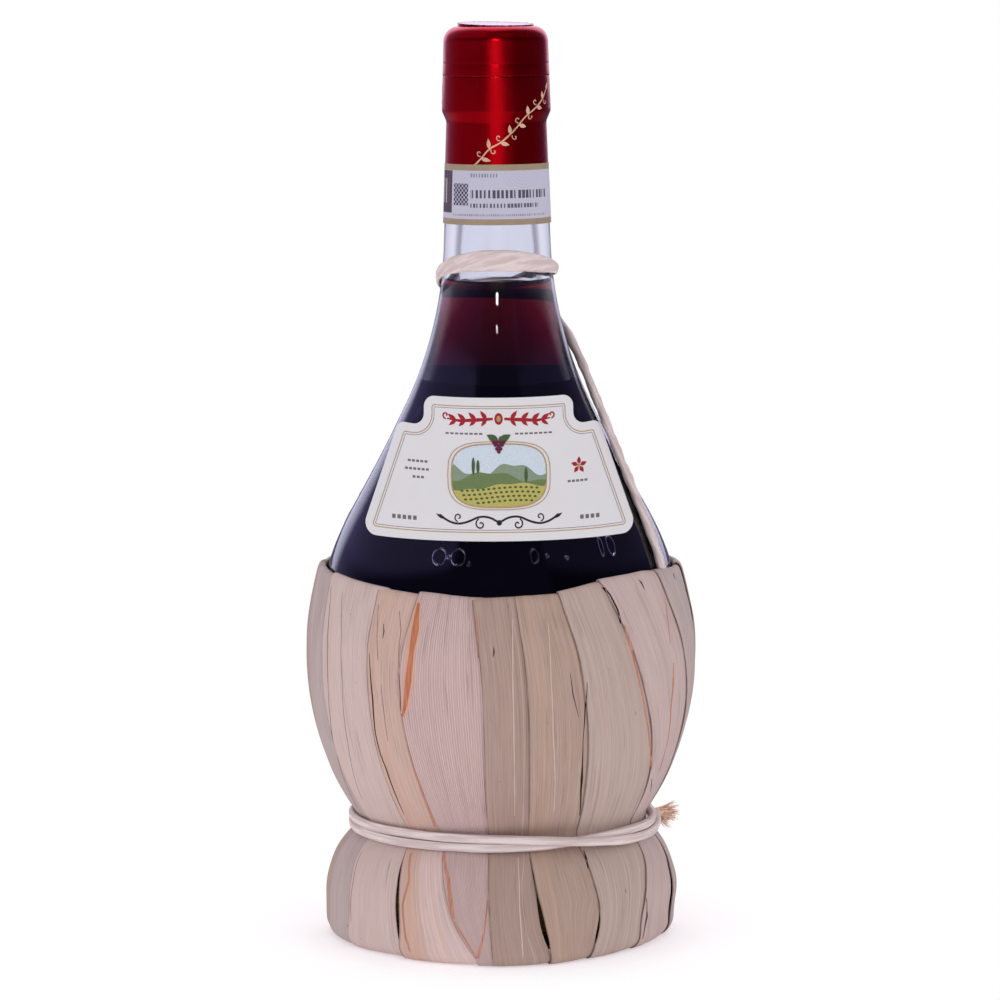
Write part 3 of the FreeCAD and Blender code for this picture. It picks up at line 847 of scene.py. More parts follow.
def capRagged(i, a, r, z):  # the pressed disc leans to the front and its edge is ragged
    s, c = math.sin(a), math.cos(a)
    front, side = foil["discLean"]
    broad, fine = foil["ragged"]
    if crownStart < i < crownEnd:
        z += (front - front * c - side * s) * r / capOut[crownStart][0]
    if crownStart + 1 <= i <= crownStart + 2:
        z += broad * grainAt(s * 9, c * 9, i * 3.0) + fine * grainAt(s * 25, c * 25, i)
        r += fine * grainAt(s * 14, c * 14, 5.0)
    return r, z


capShape = lathe(chain(capOut, capIn, [capOut[0]]), foil["sides"], foil["gauge"], capRagged)
capRows = [k // foil["sides"] for k in range(len(capShape[1]))]
capPick = [1 if crownStart + 2 <= row < crownEnd else 0 for row in capRows]
capPiece = addPiece(
    "capsuleTop", (*capShape, capPick), [redFoil, capDisc], ["capsule_cap"], body="capsule_top")

skirtTop = foil["tear"] - foil["gap"]
skirtRun = softRun([foilSpot(z) for z in (skirtTop, lipBottom, neckTopHeight, foil["end"])], foil["ease"])
skirtOut = [foilSpot(skirtTop, -0.05), (foilRadius(skirtTop) - 0.01, skirtTop - 0.15)]
skirtOut += [foilSpot(skirtTop - 0.4)] + skirtRun[1:]
skirtIn = [(r - foil["thick"], z) for r, z in skirtOut]
skirtShape = lathe(chain(skirtOut[::-1], skirtIn, [skirtOut[-1]]), foil["sides"], foil["gauge"])
skirtPiece = addPiece("capsuleSkirt", skirtShape, redFoil, ["capsule_skirt"])
skirtHeights = [z for r, z in skirtOut[::-1]]
skirtRadii = [r for r, z in skirtOut[::-1]]


# thin printed shapes, drawn flat in millimetres and laid on a surface
def strip(points, width, step=1.2):  # a line of a width; width may be a list, one for each point
    widths = width if isinstance(width, (list, tuple)) else [width] * len(points)
    spots, broad = [Vector(points[0])], [widths[0]]
    for a, b, wa, wb in zip(points, points[1:], widths, widths[1:]):
        parts = max(1, math.ceil(math.dist(a, b) / step))
        for i in range(1, parts + 1):
            spots.append(Vector(a).lerp(Vector(b), i / parts))
            broad.append(wa + (wb - wa) * i / parts)
    grid = []
    for i, spot in enumerate(spots):
        one, two = spot - spots[max(i - 1, 0)], spots[min(i + 1, len(spots) - 1)] - spot
        way = (one.normalized() + two.normalized()).normalized()
        side = Vector((way.y, -way.x)) * broad[i] / 2
        grid.append([tuple(spot - side), tuple(spot + side)])
    return grid


def field(x0, x1, low, high, cols, rows):  # an area between two lines over a width
    grid = []
    for i in range(rows + 1):
        row = []
        for j in range(cols + 1):
            x = x0 + (x1 - x0) * j / cols
            row.append((x, low(x) + (high(x) - low(x)) * i / rows))
        grid.append(row)
    return grid


def blob(x, z, wide, tall, steps=8):  # an oval, as a grid
    grid = []
    for i in range(steps + 1):
        a = math.pi * i / steps
        half = wide / 2 * max(math.sin(a), 0.02)
        grid.append([(x + half * (2 * j / steps - 1), z - tall / 2 * math.cos(a)) for j in range(steps + 1)])
    return grid


def leaf(x, z, long, wide, turn):  # a pointed leaf from its foot
    c, s = math.cos(turn), math.sin(turn)
    grid = []
    for i in range(9):
        t = i / 8
        half = wide / 2 * (math.sin(math.pi * t**0.8) + 0.02)
        ahead = t * long
        aside = [side * half for side in (1, 0.5, 0, -0.5, -1)]
        grid.append([(x + ahead * c - q * s, z + ahead * s + q * c) for q in aside])
    return grid


def curl(x, z, size, start, turns, way=1):  # a scroll that winds in
    made = []
    for i in range(25):
        t = i / 24
        a = start + way * turns * 2 * math.pi * t
        r = size * (1 - 0.85 * t)
        made.append((x + r * math.cos(a), z + r * math.sin(a)))
    return made


# gold sprig on the skirt of the capsule
sprig = dict(
    high=0.07, sunk=0.04, gauge=15.2, width=0.42, ease=1.4, low=222.5, top=246.2, turns=(0.0, -154.4, 121.0),
    stem=[
        (-7.4, 221.6), (-4.6, 224.2), (-2.2, 227.0), (1.2, 228.6), (4.2, 231.0),
        (7.0, 233.6), (9.4, 236.6), (12.6, 238.6), (15.4, 240.8), (17.6, 243.4),
    ],
)


def onSkirt(s, z, out):
    r = float(np.interp(z, skirtHeights, skirtRadii))
    a = s / sprig["gauge"]
    return ((r + out) * math.sin(a), -(r + out) * math.cos(a), z)


def sprigGrids(shift):
    stem = sprig["stem"]
    grids = [strip(softRun(stem, sprig["ease"]), sprig["width"], 0.8)]
    for i, (x, z) in enumerate(stem[1:-1]):
        side = 1 if i % 2 else -1
        grids.append(leaf(x, z, 3.0 - 0.12 * i, 1.15, 0.72 + side * 0.95))
        away = 0.7 - side * 1.2
        scroll = curl(x + 1.6 * math.cos(away), z + 1.6 * math.sin(away), 0.95, 0.7 + side * 1.9, 0.8, side)
        grids.append(strip(scroll, 0.26, 0.5))
    grids.append(leaf(*stem[-1], 2.2, 1.0, 1.0))
    low, top = sprig["low"], sprig["top"]
    return [[[(s + shift, min(max(z, low), top)) for s, z in row] for row in grid] for grid in grids]


def mirrorWise(grid):  # whether a grid's rows and columns turn the other way
    a, b, c = grid[0][0], grid[0][1], grid[1][0]
    return (b[0] - a[0]) * (c[1] - a[1]) < (b[1] - a[1]) * (c[0] - a[0])


parts = []
for turn in sprig["turns"]:
    for grid in sprigGrids(math.radians(turn) * sprig["gauge"]):
        parts.append((0, slab(grid, onSkirt, -sprig["sunk"], sprig["high"], flip=mirrorWise(grid))))
addPiece("capsuleSprig", joined(parts), goldLeaf)
print("capsule")


# paper seal round the neck
seal = dict(low=205.4, height=17.1, clear=0.34, thick=0.1, wave=0.05, gauge=15.3, border=1.7, start=30.0)
sealRings = [(38.2, 16.4), (16.0, 16.0), (60.0, 3.0), (82.0, 15.0)]  # middles of the engraved circles
sealBars = [  # left, right, low, high, pitch, seed, ink
    (22.1, 30.4, 13.5, 14.6, 0.85, 3.0, 0.55), (22.1, 47.2, 7.6, 9.9, 1.25, 5.0, 0.9),
    (22.1, 43.2, 4.9, 6.1, 1.0, 8.0, 0.85), (15.6, 46.8, 2.5, 3.1, 0.6, 11.0, 0.5),
    (62.0, 86.0, 7.6, 9.9, 1.25, 15.0, 0.9),
]


def sealFinish():
    made, root, shader = newFinish("sealPaper", {"Specular IOR Level": 0.35})
    u, v = root.uv()
    tall, whole = seal["height"], 2 * math.pi * seal["gauge"]
    along = (u + seal["start"]).fn("MODULO", whole)  # so that the front of the seal is in one run
    fibre = root.noise(u * 4, v * 4, 1.0, 4.0, 0.6)
    cloud = root.noise(u * 0.3, v * 0.3, 4.0, 2.0)
    tone = fibre.mix(paint(173, 169, 189), paint(187, 183, 201))

    def block(x0, x1, z0, z1):
        return (along > x0) * (along < x1) * (v > z0) * (v < z1)

    rings = 0.0
    for x, z in sealRings:
        away = ((along - x) * (along - x) + (v - z) * (v - z)).fn("SQRT")
        line = (away * (2 * math.pi / 0.95)).fn("SINE").step(0.5, 0.95)
        rings = line * (1.0 - away.step(6.5, 7.5)) + rings
    tone = (rings * 0.4).mix(tone, paint(160, 154, 178))

    def barsOn(x0, x1, z0, z1, pitch, seed):  # upright bars of uneven widths
        cell = (along / pitch).fn("FLOOR")
        place = root.node("CombineXYZ", None, {0: cell, 1: seed})
        uneven = root.node("TexWhiteNoise", {"noise_dimensions": "2D"}, {"Vector": place})
        return ((along / pitch).fn("FRACT") < uneven * 0.45 + 0.32) * block(x0, x1, z0, z1)

    ink = 0.0
    for *bars, strength in sealBars:
        ink = barsOn(*bars) * strength + ink
    p, q = along - 17.3 + v, along - 17.3 - v  # a lattice of small diamonds
    lattice = (p * (2 * math.pi / 2.6)).fn("SINE") * (q * (2 * math.pi / 2.6)).fn("SINE")
    ink = ink + (lattice.fn("ABSOLUTE") > 0.22) * block(15.7, 21.3, 5.5, 11.7) * 0.95
    tone = ink.mix(tone, paint(46, 42, 62))
    slate = block(1.0, 14.8, 3.3, 15.3)
    pale = ((along * (2 * math.pi / 2.1)).fn("SINE") > 0.5) * block(2.5, 12.8, 6.0, 13.0)
    tone = slate.mix(tone, (pale * 0.85).mix(paint(80, 68, 82), paint(190, 182, 190)))
    edge = (v < seal["border"]) + (v > tall - seal["border"])
    tone = edge.mix(tone, cloud.mix(paint(135, 117, 95), paint(157, 141, 121)))
    feed(shader, Base_Color=tone, Roughness=0.62 - 0.2 * edge, Normal=fibre.bump(0.15, 0.0002))
    return made


sealHeights = [seal["low"] + seal["height"] * i / 8 for i in range(9)]
sealOut = [(neckAt(z) + seal["clear"] + seal["thick"], z) for z in sealHeights]
sealIn = [(r - seal["thick"], z) for r, z in sealOut[::-1]]


def sealWave(i, a, r, z):  # paper that is not stuck down quite flat
    return r + seal["wave"] * grainAt(math.sin(a) * 2.5, math.cos(a) * 2.5, z * 0.08), z


sealShape = lathe(chain(sealOut, sealIn, [sealOut[0]]), 160, seal["gauge"], sealWave)
addPiece("neckSeal", sealShape, sealFinish(), ["neck_band"])
print("seal")


# paper labels on the shoulder
label = dict(
    low=119.0, shoulder=149.3, top=157.3, foot=39.25, shoulderHalf=28.6, tab=21.2, corner=3.1,
    backFoot=30.0, backTop=20.0, backHigh=155.0, gap=0.1, paper=0.2, ink=0.018, inkSunk=0.05, inkSpread=0.05,
)


def onFront(x, z, out):
    r = glassAt(z) + out
    return (x, -math.sqrt(r * r - x * x), z)


def onBack(x, z, out):
    r = glassAt(z) + out
    return (-x, math.sqrt(r * r - x * x), z)


def rounded(points, radius, steps=8):  # an outline with its corners rounded
    made = []
    for before, corner, after in zip(points[-1:] + points[:-1], points, points[1:] + points[:1]):
        spot = Vector(corner)
        u, v = (Vector(before) - spot).normalized(), (Vector(after) - spot).normalized()
        half = math.acos(max(-1, min(1, u.dot(v)))) / 2
        hub = spot + (u + v).normalized() * (radius / math.sin(half))
        start = spot + u * (radius / math.tan(half)) - hub
        end = spot + v * (radius / math.tan(half)) - hub
        for i in range(steps + 1):
            spin = start.angle_signed(end) * i / steps
            c, s = math.cos(spin), math.sin(spin)
            made.append(tuple(hub + Vector((start.x * c + start.y * s, start.y * c - start.x * s))))
    return made


def mirrored(half):  # a right half and its mirror image
    return half + [(-x, z) for x, z in half[::-1]]


def roundedHalf(right):  # right half of an outline with rounded corners, from the bottom up
    whole = rounded(mirrored(right), label["corner"])
    return whole[: len(whole) // 2]


def edgeWidth(edge, z):
    return float(np.interp(z, [p[1] for p in edge], [p[0] for p in edge]))


def paperRows(edge, low, high, count):  # even heights, those where the outline bends, and the width at each
    heights = sorted({z for x, z in edge} | {low + (high - low) * i / count for i in range(count + 1)})
    return [(z, edgeWidth(edge, z)) for z in heights]


def evenSteps(count):  # from -1 to 1
    return [2 * i / count - 1 for i in range(count + 1)]


def frontGrid(half):  # the broad part, and the tab on top of it
    low, step, high = label["low"], label["shoulder"], label["top"]
    cut = max(range(len(half)), key=lambda i: (abs(half[i][1] - step) < 1e-3, half[i][0]))
    lower, upper = half[: cut + 1], half[cut + 1:]
    share = upper[0][0] / lower[-1][0]
    side = [-1, -0.9 - 0.1 * share, -0.6 - 0.4 * share, -0.25 - 0.75 * share]
    columns = side + [share * c for c in evenSteps(56)] + [-c for c in side[::-1]]
    broad = [[(wide * c, z) for c in columns] for z, wide in paperRows(lower, low, step, 40)]
    upper.sort(key=lambda p: p[1])
    tab = [[(wide * c, z) for c in evenSteps(56)] for z, wide in paperRows(upper, step, high, 14)]
    return broad, tab


def labelFinish():
    made, root, shader = newFinish("labelPaper", {"Specular IOR Level": 0.35})
    u, v = root.uv()
    fibre = root.noise(u * 5.0, v * 5.0, 1.0, 4.0, 0.65)
    laid = (v * (2 * math.pi / 0.8)).fn("SINE") * 0.5 + 0.5
    blot = root.noise(u * 0.12, v * 0.12, 7.0, 3.0)
    tone = fibre.mix(paint(208, 205, 209), paint(220, 217, 222))
    tone = (blot.step(0.45, 0.75) * 0.3).mix(tone, paint(212, 204, 202))
    relief = fibre * 0.7 + laid * 0.3
    feed(shader, Base_Color=tone, Roughness=0.54 + 0.1 * fibre, Normal=relief.bump(0.12, 0.0002))
    return made


labelPaper = labelFinish()
paperLow, paperHigh = label["gap"], label["gap"] + label["paper"]


def paperMesh(lower, upper, lay):  # one closed sheet from a broad grid and a narrower one on top of it
    points, faces, uv = [], [], []
    count = len(lower[0])
    rows = [(row, 0) for row in lower] + [(row, (count - len(row)) // 2) for row in upper[1:]]
    index = {}
    for side, out in enumerate((paperHigh, paperLow)):
        for i, (row, skip) in enumerate(rows):
            for j, (x, z) in enumerate(row):
                index[side, i, j + skip] = len(points)
                points.append(lay(x, z, out))
    flat = {(i, j + skip): row[j] for i, (row, skip) in enumerate(rows) for j in range(len(row))}

    def put(*corners):
        faces.append([index[c] for c in corners])
        uv.append([flat[c[1], c[2]] for c in corners])

    cells = [(i, j) for i in range(len(rows) - 1) for j in range(count - 1)
             if all((a, b) in flat for a, b in ((i, j), (i, j + 1), (i + 1, j), (i + 1, j + 1)))]
    held = set(cells)
    for i, j in cells:
        put((0, i, j), (0, i, j + 1), (0, i + 1, j + 1), (0, i + 1, j))
        put((1, i + 1, j), (1, i + 1, j + 1), (1, i, j + 1), (1, i, j))
        if (i, j - 1) not in held:
            put((0, i, j), (0, i + 1, j), (1, i + 1, j), (1, i, j))
        if (i, j + 1) not in held:
            put((0, i + 1, j + 1), (0, i, j + 1), (1, i, j + 1), (1, i + 1, j + 1))
        if (i - 1, j) not in held:
            put((0, i, j + 1), (0, i, j), (1, i, j), (1, i, j + 1))
        if (i + 1, j) not in held:
            put((0, i + 1, j), (0, i + 1, j + 1), (1, i + 1, j + 1), (1, i + 1, j))
    return points, faces, uv


frontEdge = roundedHalf([
    (label["foot"], label["low"]), (label["shoulderHalf"], label["shoulder"]),
    (label["tab"], label["shoulder"]), (label["tab"], label["top"]),
])
addPiece("labelFront", paperMesh(*frontGrid(frontEdge), onFront), labelPaper, ["front_label"])

backEdge = roundedHalf([(label["backFoot"], label["low"]), (label["backTop"], label["backHigh"])])
backRows = paperRows(backEdge, label["low"], label["backHigh"], 44)
backGrid = [[(wide * c, z) for c in evenSteps(44)] for z, wide in backRows]
addPiece("labelBack", paperMesh(backGrid, [], onBack), labelPaper, ["back_label"])


def inkFinish(name, colour):
    made, root, shader = newFinish(name, {"Roughness": 0.5, "Specular IOR Level": 0.35})
    x, y, z = root.place()
    grain = root.noise(x * 2500, y * 2500, z * 2500, 2.0)
    spread = label["inkSpread"]
    light = tuple(min(c * (1 + spread) + 0.004, 1.0) for c in colour[:3]) + (1.0,)
    dark = tuple(c * (1 - spread) for c in colour[:3]) + (1.0,)
    feed(shader, Base_Color=grain.step(0.35, 0.65).mix(dark, light))
    return made


inkTones = {
    "inkGold": (172, 140, 96), "inkRed": (158, 24, 38), "inkBlack": (40, 36, 44), "inkSky": (196, 205, 218),
    "inkFarHill": (128, 144, 122), "inkHill": (104, 122, 78), "inkField": (178, 168, 92),
    "inkVine": (70, 92, 54), "inkGrape": (98, 30, 62), "inkGrey": (108, 102, 108),
}
inks = [inkFinish(name, paint(*tone)) for name, tone in inkTones.items()]
gold, red, black, sky, farHill, hill, meadow, vine, grape, grey = range(len(inks))


def inset(outline, away):  # an outline moved inwards
    made = []
    for before, spot, after in zip(outline[-1:] + outline[:-1], outline, outline[1:] + outline[:1]):
        way = (Vector(after) - Vector(before)).normalized()
        made.append((spot[0] - way.y * away, spot[1] + way.x * away))
    return made


def printed(shapes, lay, name):  # each shape is an ink, a grid and a layer
    low = paperHigh - label["inkSunk"]
    parts = []
    for ink, grid, layer in shapes:
        high = paperHigh + label["ink"] * (layer + 1)
        parts.append((ink, slab(grid, lay, low, high, flip=mirrorWise(grid))))
    addPiece(name, joined(parts), inks)


def edging(outline, lines):  # lines that follow an outline: how far inside it, thickness, ink
    made = []
    for away, thick, ink in lines:
        ring = inset(outline, away)
        made.append((ink, strip(ring + ring[:1], thick, 1.5), 0))
    return made


def dashes(start, z, pitch, count, long, thick):  # a row of short grey lines
    places = [start + pitch * i for i in range(count)]
    return [(grey, strip([(x, z), (x + long, z)], thick, 0.6), 0) for x in places]


def turnFor(side, turn):  # an angle, mirrored on the left
    return turn if side > 0 else math.pi - turn


shapes = edging(mirrored(frontEdge), [(2.35, 0.26, gold), (2.95, 0.15, grey)])
picture = dict(middle=136.4, half=13.4, tall=8.2, power=3.2)
pictureMiddle, pictureHalf = picture["middle"], picture["half"]


def frameRise(x):  # how far the rounded frame stands above and below its middle
    power = picture["power"]
    return picture["tall"] * max(0.0, 1 - abs(x / pictureHalf) ** power) ** (1 / power)


def frameLow(x):
    return pictureMiddle - frameRise(x)


def frameHigh(x):
    return pictureMiddle + frameRise(x)


def ridge(base, sway):  # a skyline inside the frame
    def at(x):
        line = pictureMiddle + base + sum(h * math.sin(x * f + p) for h, f, p in sway)
        return min(max(line, frameLow(x)), frameHigh(x))
    return at


farLine = ridge(1.6, [(1.5, 0.33, 0.4), (0.5, 0.9, 1.0)])
hillLine = ridge(-0.4, [(1.3, 0.24, 2.2), (0.4, 0.7, 0.0)])
fieldLine = ridge(-3.0, [(0.9, 0.2, 0.6), (0.2, 0.8, 2.0)])
span = (-pictureHalf + 0.02, pictureHalf - 0.02)
shapes.append((sky, field(*span, frameLow, frameHigh, 48, 10), 0))
for layer, (ink, line) in enumerate(((farHill, farLine), (hill, hillLine), (meadow, fieldLine))):
    shapes.append((ink, field(*span, frameLow, line, 48, 6), layer + 1))
for row in range(4):  # rows of vines down the near field
    for count in range(15):
        x = -10.4 + count * 1.5 + 0.5 * row
        z = pictureMiddle - 3.6 - row * 1.15 + 0.5 * math.sin(x * 0.2 + 0.6)
        if abs(x) < pictureHalf - 1.6 and z > frameLow(x) + 0.5:
            shapes.append((vine, blob(x, z, 0.9, 0.62), 4))
for x, tall in ((-7.2, 4.6), (-5.9, 3.6), (7.6, 4.2)):  # slim trees on the hill
    shapes.append((vine, blob(x, hillLine(x) + tall * 0.42, 0.95, tall), 4))
across = [pictureHalf * math.sin(math.pi * (i / 24 - 0.5)) for i in range(25)]
border = [(x, frameHigh(x)) for x in across] + [(x, frameLow(x)) for x in across[-2:0:-1]]
for grow, thick in ((1.0, 0.34), (1.075, 0.2)):
    ring = [(x * grow, pictureMiddle + (z - pictureMiddle) * (grow + 0.03)) for x, z in border]
    shapes.append((gold, strip(ring + ring[:1], thick, 1.0), 5))

for side in (1, -1):  # red scroll along the top
    stem = [(side * x, z) for x, z in ((1.6, 151.6), (6.0, 151.3), (11.0, 151.0), (14.6, 151.5))]
    shapes.append((red, strip(stem, [0.7, 1.0, 0.8, 0.35]), 1))
    for x, z, turn in ((3.4, 151.5, 0.9), (6.4, 151.3, 0.75), (9.4, 151.1, 0.7), (12.0, 151.1, 0.6)):
        shapes.append((red, leaf(side * x, z, 2.9, 1.15, turnFor(side, turn)), 1))
        shapes.append((red, leaf(side * x, z, 2.5, 1.0, turnFor(side, -turn)), 1))
    shapes.append((red, strip(curl(side * 14.9, 152.4, 1.0, -1.57, 0.9, side), 0.42, 0.6), 1))
shapes.append((red, blob(0, 151.6, 2.4, 3.2), 1))
shapes.append((gold, blob(0, 151.6, 1.2, 1.7), 2))

bunch = [  # grapes over the picture
    (0, 0), (-0.95, 0.2), (0.95, 0.2), (-0.5, -0.85), (0.5, -0.85),
    (0, -1.6), (-1.4, 0.95), (-0.5, 0.95), (0.5, 0.95), (1.4, 0.95),
]
for x, z in bunch:
    shapes.append((grape, blob(x, 144.4 + z, 1.08, 1.08), 6))
for turn, x in ((0.5, 0.2), (2.64, -0.2)):
    shapes.append((vine, leaf(x, 145.6, 3.6, 1.9, turn), 6))
shapes.append((vine, strip([(0, 145.2), (0.1, 146.2), (0.5, 146.9)], 0.36, 0.5), 6))

flourish = [  # a black flourish under the picture
    (0.0, 123.9), (2.6, 125.4), (5.6, 125.6), (8.4, 124.2), (11.6, 123.4), (14.6, 124.3), (16.6, 125.8),
]
for side in (1, -1):
    sweep = softRun([(side * x, z) for x, z in flourish], 1.6)
    innerCurl = curl(side * 5.2, 123.5, 1.5, turnFor(side, 1.2), 1.1, -side)
    outerCurl = curl(side * 11.4, 125.3, 1.2, turnFor(side, -1.4), 1.0, side)
    shapes.append((black, strip(sweep, 0.55, 0.8), 1))
    shapes.append((black, strip(innerCurl, 0.4, 0.6), 1))
    shapes.append((black, strip(outerCurl, 0.36, 0.6), 1))
    shapes.append((black, leaf(side * 15.4, 124.8, 2.6, 0.8, turnFor(side, 0.5)), 1))
shapes.append((black, blob(0, 123.9, 1.5, 1.5), 1))
for side, z, wide in ((-1, 139.6, 6.4), (-1, 137.5, 8.0), (-1, 135.4, 3.6), (1, 134.2, 6.6)):
    shapes += dashes(side * 22.6 - wide / 2, z, 1.2, int(wide / 1.2), 0.85, 0.62)
for i in range(5):  # a red rosette
    a = 2 * math.pi * i / 5 + 0.3
    shapes.append((red, leaf(22.6 + 0.4 * math.cos(a), 138.2 + 0.4 * math.sin(a), 1.9, 1.1, a), 1))
shapes.append((gold, blob(22.6, 138.2, 0.9, 0.9), 2))
for side, wide in ((-1, 8.4), (1, 6.6)):
    shapes += dashes(side * 26.0 - wide / 2, 124.6, 1.5, int(wide / 1.5), 1.0, 1.1)
for side in (1, -1):
    shapes += dashes(side * 4.6, 147.55, side * 1.35, 8, side * 0.95, 0.5)
printed(shapes, onFront, "labelPrint")

shapes = edging(mirrored(backEdge), [(2.0, 0.26, gold), (2.6, 0.15, grey)])
for row in range(7):
    z, wide = 144.0 - row * 2.5, 30.0 + row * 1.4
    x = -wide / 2
    while x < wide / 2 - 3:
        long = 1.5 + 2.6 * dice.random()
        shapes.append((grey, strip([(x, z), (min(x + long, wide / 2), z)], 0.75), 0))
        x += long + 0.9
for side in (1, -1):
    shapes.append((red, strip([(side * 1.4, 149.8), (side * 9.5, 149.8)], [0.9, 0.2]), 0))
    for turn in (0.42, -0.42):
        shapes.append((red, leaf(side * 1.2, 149.8, 4.6, 1.5, turnFor(side, turn)), 1))
shapes.append((gold, blob(0, 149.8, 1.7, 1.7), 2))
printed(shapes, onBack, "labelBackPrint")
print("labels")


# straw blades
strawRun = 37.0  # each blade has its own stretch of the flat measure
waistRun = float(np.interp(outsideIndex(cover["waistHeight"]), range(len(coverLength)), coverLength))


def strawFinish(kind, light, dark, streak, ribs, warm, seed, foot=None):
    made, root, shader = newFinish("straw" + kind.title(), {"Specular IOR Level": 0.3})
    u, v = root.uv()
    broad = root.noise(u * 0.32, v * 0.006, seed, 3.0, 0.6)
    fibre = root.noise(u * 2.6, v * 0.022, seed + 5.0, 4.0, 0.65)
    hair = root.noise(u * 9.0, v * 0.10, seed + 9.0, 3.0, 0.6)
    grain = (fibre * 0.62 + hair * 0.38).step(0.30, 0.70)
    tone = grain.mix(paint(*dark), paint(*light))
    side = u.fn("MODULO", strawRun)
    if foot:  # a blade that is paler below the waist, away from its left edge
        low = v.step(waistRun, waistRun + 5.0) * side.step(4.8, 5.8)
        tone = low.mix(tone, grain.mix(paint(*foot[0]), paint(*foot[1])))
    tone = (broad.step(0.48, 0.78) * warm).mix(tone, paint(*streak))
    pale = root.noise(u * 1.15, v * 0.004, seed + 15.0, 1.0, 0.3).step(0.66, 0.72) * 0.25
    tone = pale.mix(tone, paint(212, 193, 187))
    vein = root.noise(u * 1.6, v * 0.006, seed + 21.0, 2.0, 0.4)
    shown = root.noise(u * 0.2, v * 0.05, seed + 2.0, 2.0).step(0.45, 0.62)
    vein = (1.0 - (vein - 0.5).fn("ABSOLUTE").step(0.004, 0.016)) * shown
    tone = (vein * 0.5).mix(tone, paint(140, 104, 78))
    fleck = root.noise(u * 1.3, v * 0.28, seed + 30.0, 2.0, 0.5).step(0.735, 0.775)
    tone = (fleck * 0.75).mix(tone, paint(106, 76, 60))
    height = fibre * 0.5 + hair * 0.35 - vein * 0.5
    if ribs:
        rib = (u * (2 * math.pi / 0.74) + fibre * 2.0).fn("SINE") * 0.5 + 0.5
        # darker between the ribs: painted shade in the rib valleys
        tone = ((1.0 - rib) * ribs * 0.62).mix(tone, paint(160, 130, 128))
        height = height + rib * ribs * 0.9
    # a patchy dark line along each blade's left edge: painted shade where the blade laps over its neighbour
    unevenness = root.noise(u * 0.1, v * 0.09, seed + 40.0, 2.0).step(0.35, 0.6) * 0.5 + 0.25
    leftEdgeShade = 1.0 - side.step(0.05, 0.45)
    tone = (leftEdgeShade * unevenness).mix(tone, paint(92, 66, 56))
    feed(shader, Base_Color=tone, Roughness=0.55 + 0.16 * fibre, Normal=height.bump(0.55, 0.00035))
    return made


strawTones = {  # light, dark and streak colours, ribs, warmth, seed and, for one, dark and light of its foot
    "pink": [(211, 187, 186), (188, 160, 158), (212, 172, 156), 0.9, 0.15, 3.0],
    "greige": [(174, 149, 140), (151, 126, 117), (176, 148, 128), 0.0, 0.3, 11.0],
    "buff": [(182, 157, 146), (154, 128, 117), (186, 152, 128), 0.0, 0.4, 23.0],
    "grey": [(187, 166, 159), (165, 143, 136), (190, 162, 146), 0.1, 0.3, 29.0],
    "cream": [(205, 183, 180), (184, 161, 157), (206, 170, 154), 0.15, 0.25, 37.0],
    "rose": [(199, 177, 175), (176, 153, 150), (202, 160, 144), 0.2, 0.25, 41.0],
    "tan": [
        (202, 173, 164), (179, 148, 138), (204, 154, 126), 0.1, 0.45, 53.0,
        [(190, 164, 162), (214, 191, 189)],
    ],
    "dusk": [(187, 169, 168), (165, 146, 144), (186, 160, 150), 0.1, 0.25, 61.0],
}
straws = {kind: strawFinish(kind, *tones) for kind, tones in strawTones.items()}
bladeStations = (107.6, 78.0, 33.3, 13.0, 2.0)  # rim, belly, waist, foot, bottom
bladeEdges = [  # left edge of each blade, in degrees, at the stations
    (-66.0, -64.6, -63.4, -58.9, -60.0), (-41.0, -41.9, -39.0, -35.5, -34.0),
    (-25.8, -30.7, -23.6, -15.4, -7.5), (-8.5, -5.3, -5.1, -3.8, -3.0),
    (4.5, 7.6, 10.1, 12.1, 14.7), (18.4, 24.6, 30.4, 32.2, 29.0),
    (32.7, 45.4, 62.0, 52.6, 51.0), (58.3, 70.4, 82.0, 75.8, 76.0),
    (84.0, 93.0, 100.0, 97.0, 97.0), (112.0, 114.2, 116.0, 117.5, 117.0),
    (136.5, 138.2, 140.5, 137.0, 136.0), (161.0, 159.2, 157.0, 160.5, 161.0),
    (176.5, 175.6, 178.0, 175.0, 174.0), (199.5, 200.6, 202.5, 199.0, 198.0),
    (221.0, 222.6, 224.0, 222.0, 221.0), (242.0, 240.5, 239.0, 242.5, 243.0),
    (264.5, 266.5, 268.0, 265.0, 264.0), (276.0, 281.0, 280.0, 282.3, 282.0),
]
bladeCount = len(bladeEdges)
bladeStraw = [
    "cream", "tan", "pink", "greige", "buff", "grey", "rose", "dusk", "cream",
    "buff", "pink", "greige", "tan", "rose", "grey", "cream", "buff", "dusk",
]
rimLine = [  # how far the rim stands above or below its height, by azimuth
    (-180, 0.2), (-110, 0.4), (-80, 0.1), (-45, -1.65), (-25, -2.7), (-8, -3.4), (6, -2.9),
    (19, -2.4), (33, -0.2), (52, 0.8), (77, -0.4), (110, -0.4), (180, 0.2),
]
footLine = [  # how far the foot bulges past its round, by azimuth
    (-180, 0.0), (-60, 0.0), (-40, 0.3), (-18, 3.2), (0, 4.6), (14, 4.0), (33, 1.2), (52, 0.0), (180, 0.0),
]
fullness = [  # how far the blades stand past the cover's line, by height
    (20, 0.0), (30, 0.9), (37, 0.9), (48, 0.7), (60, 0.35), (84, 0.0), (90, 0.0), (100, -0.25),
]
blades = dict(
    lap=3.6, lift=0.52, under=-0.10, bow=0.16, sway=0.16, ripple=0.05, thin=0.6, columns=15, slitRadius=48.0,
    rightIn=1.2, rightFull=0.5, ragged=0.12, flapGap=0.7, flapRows=10,
)
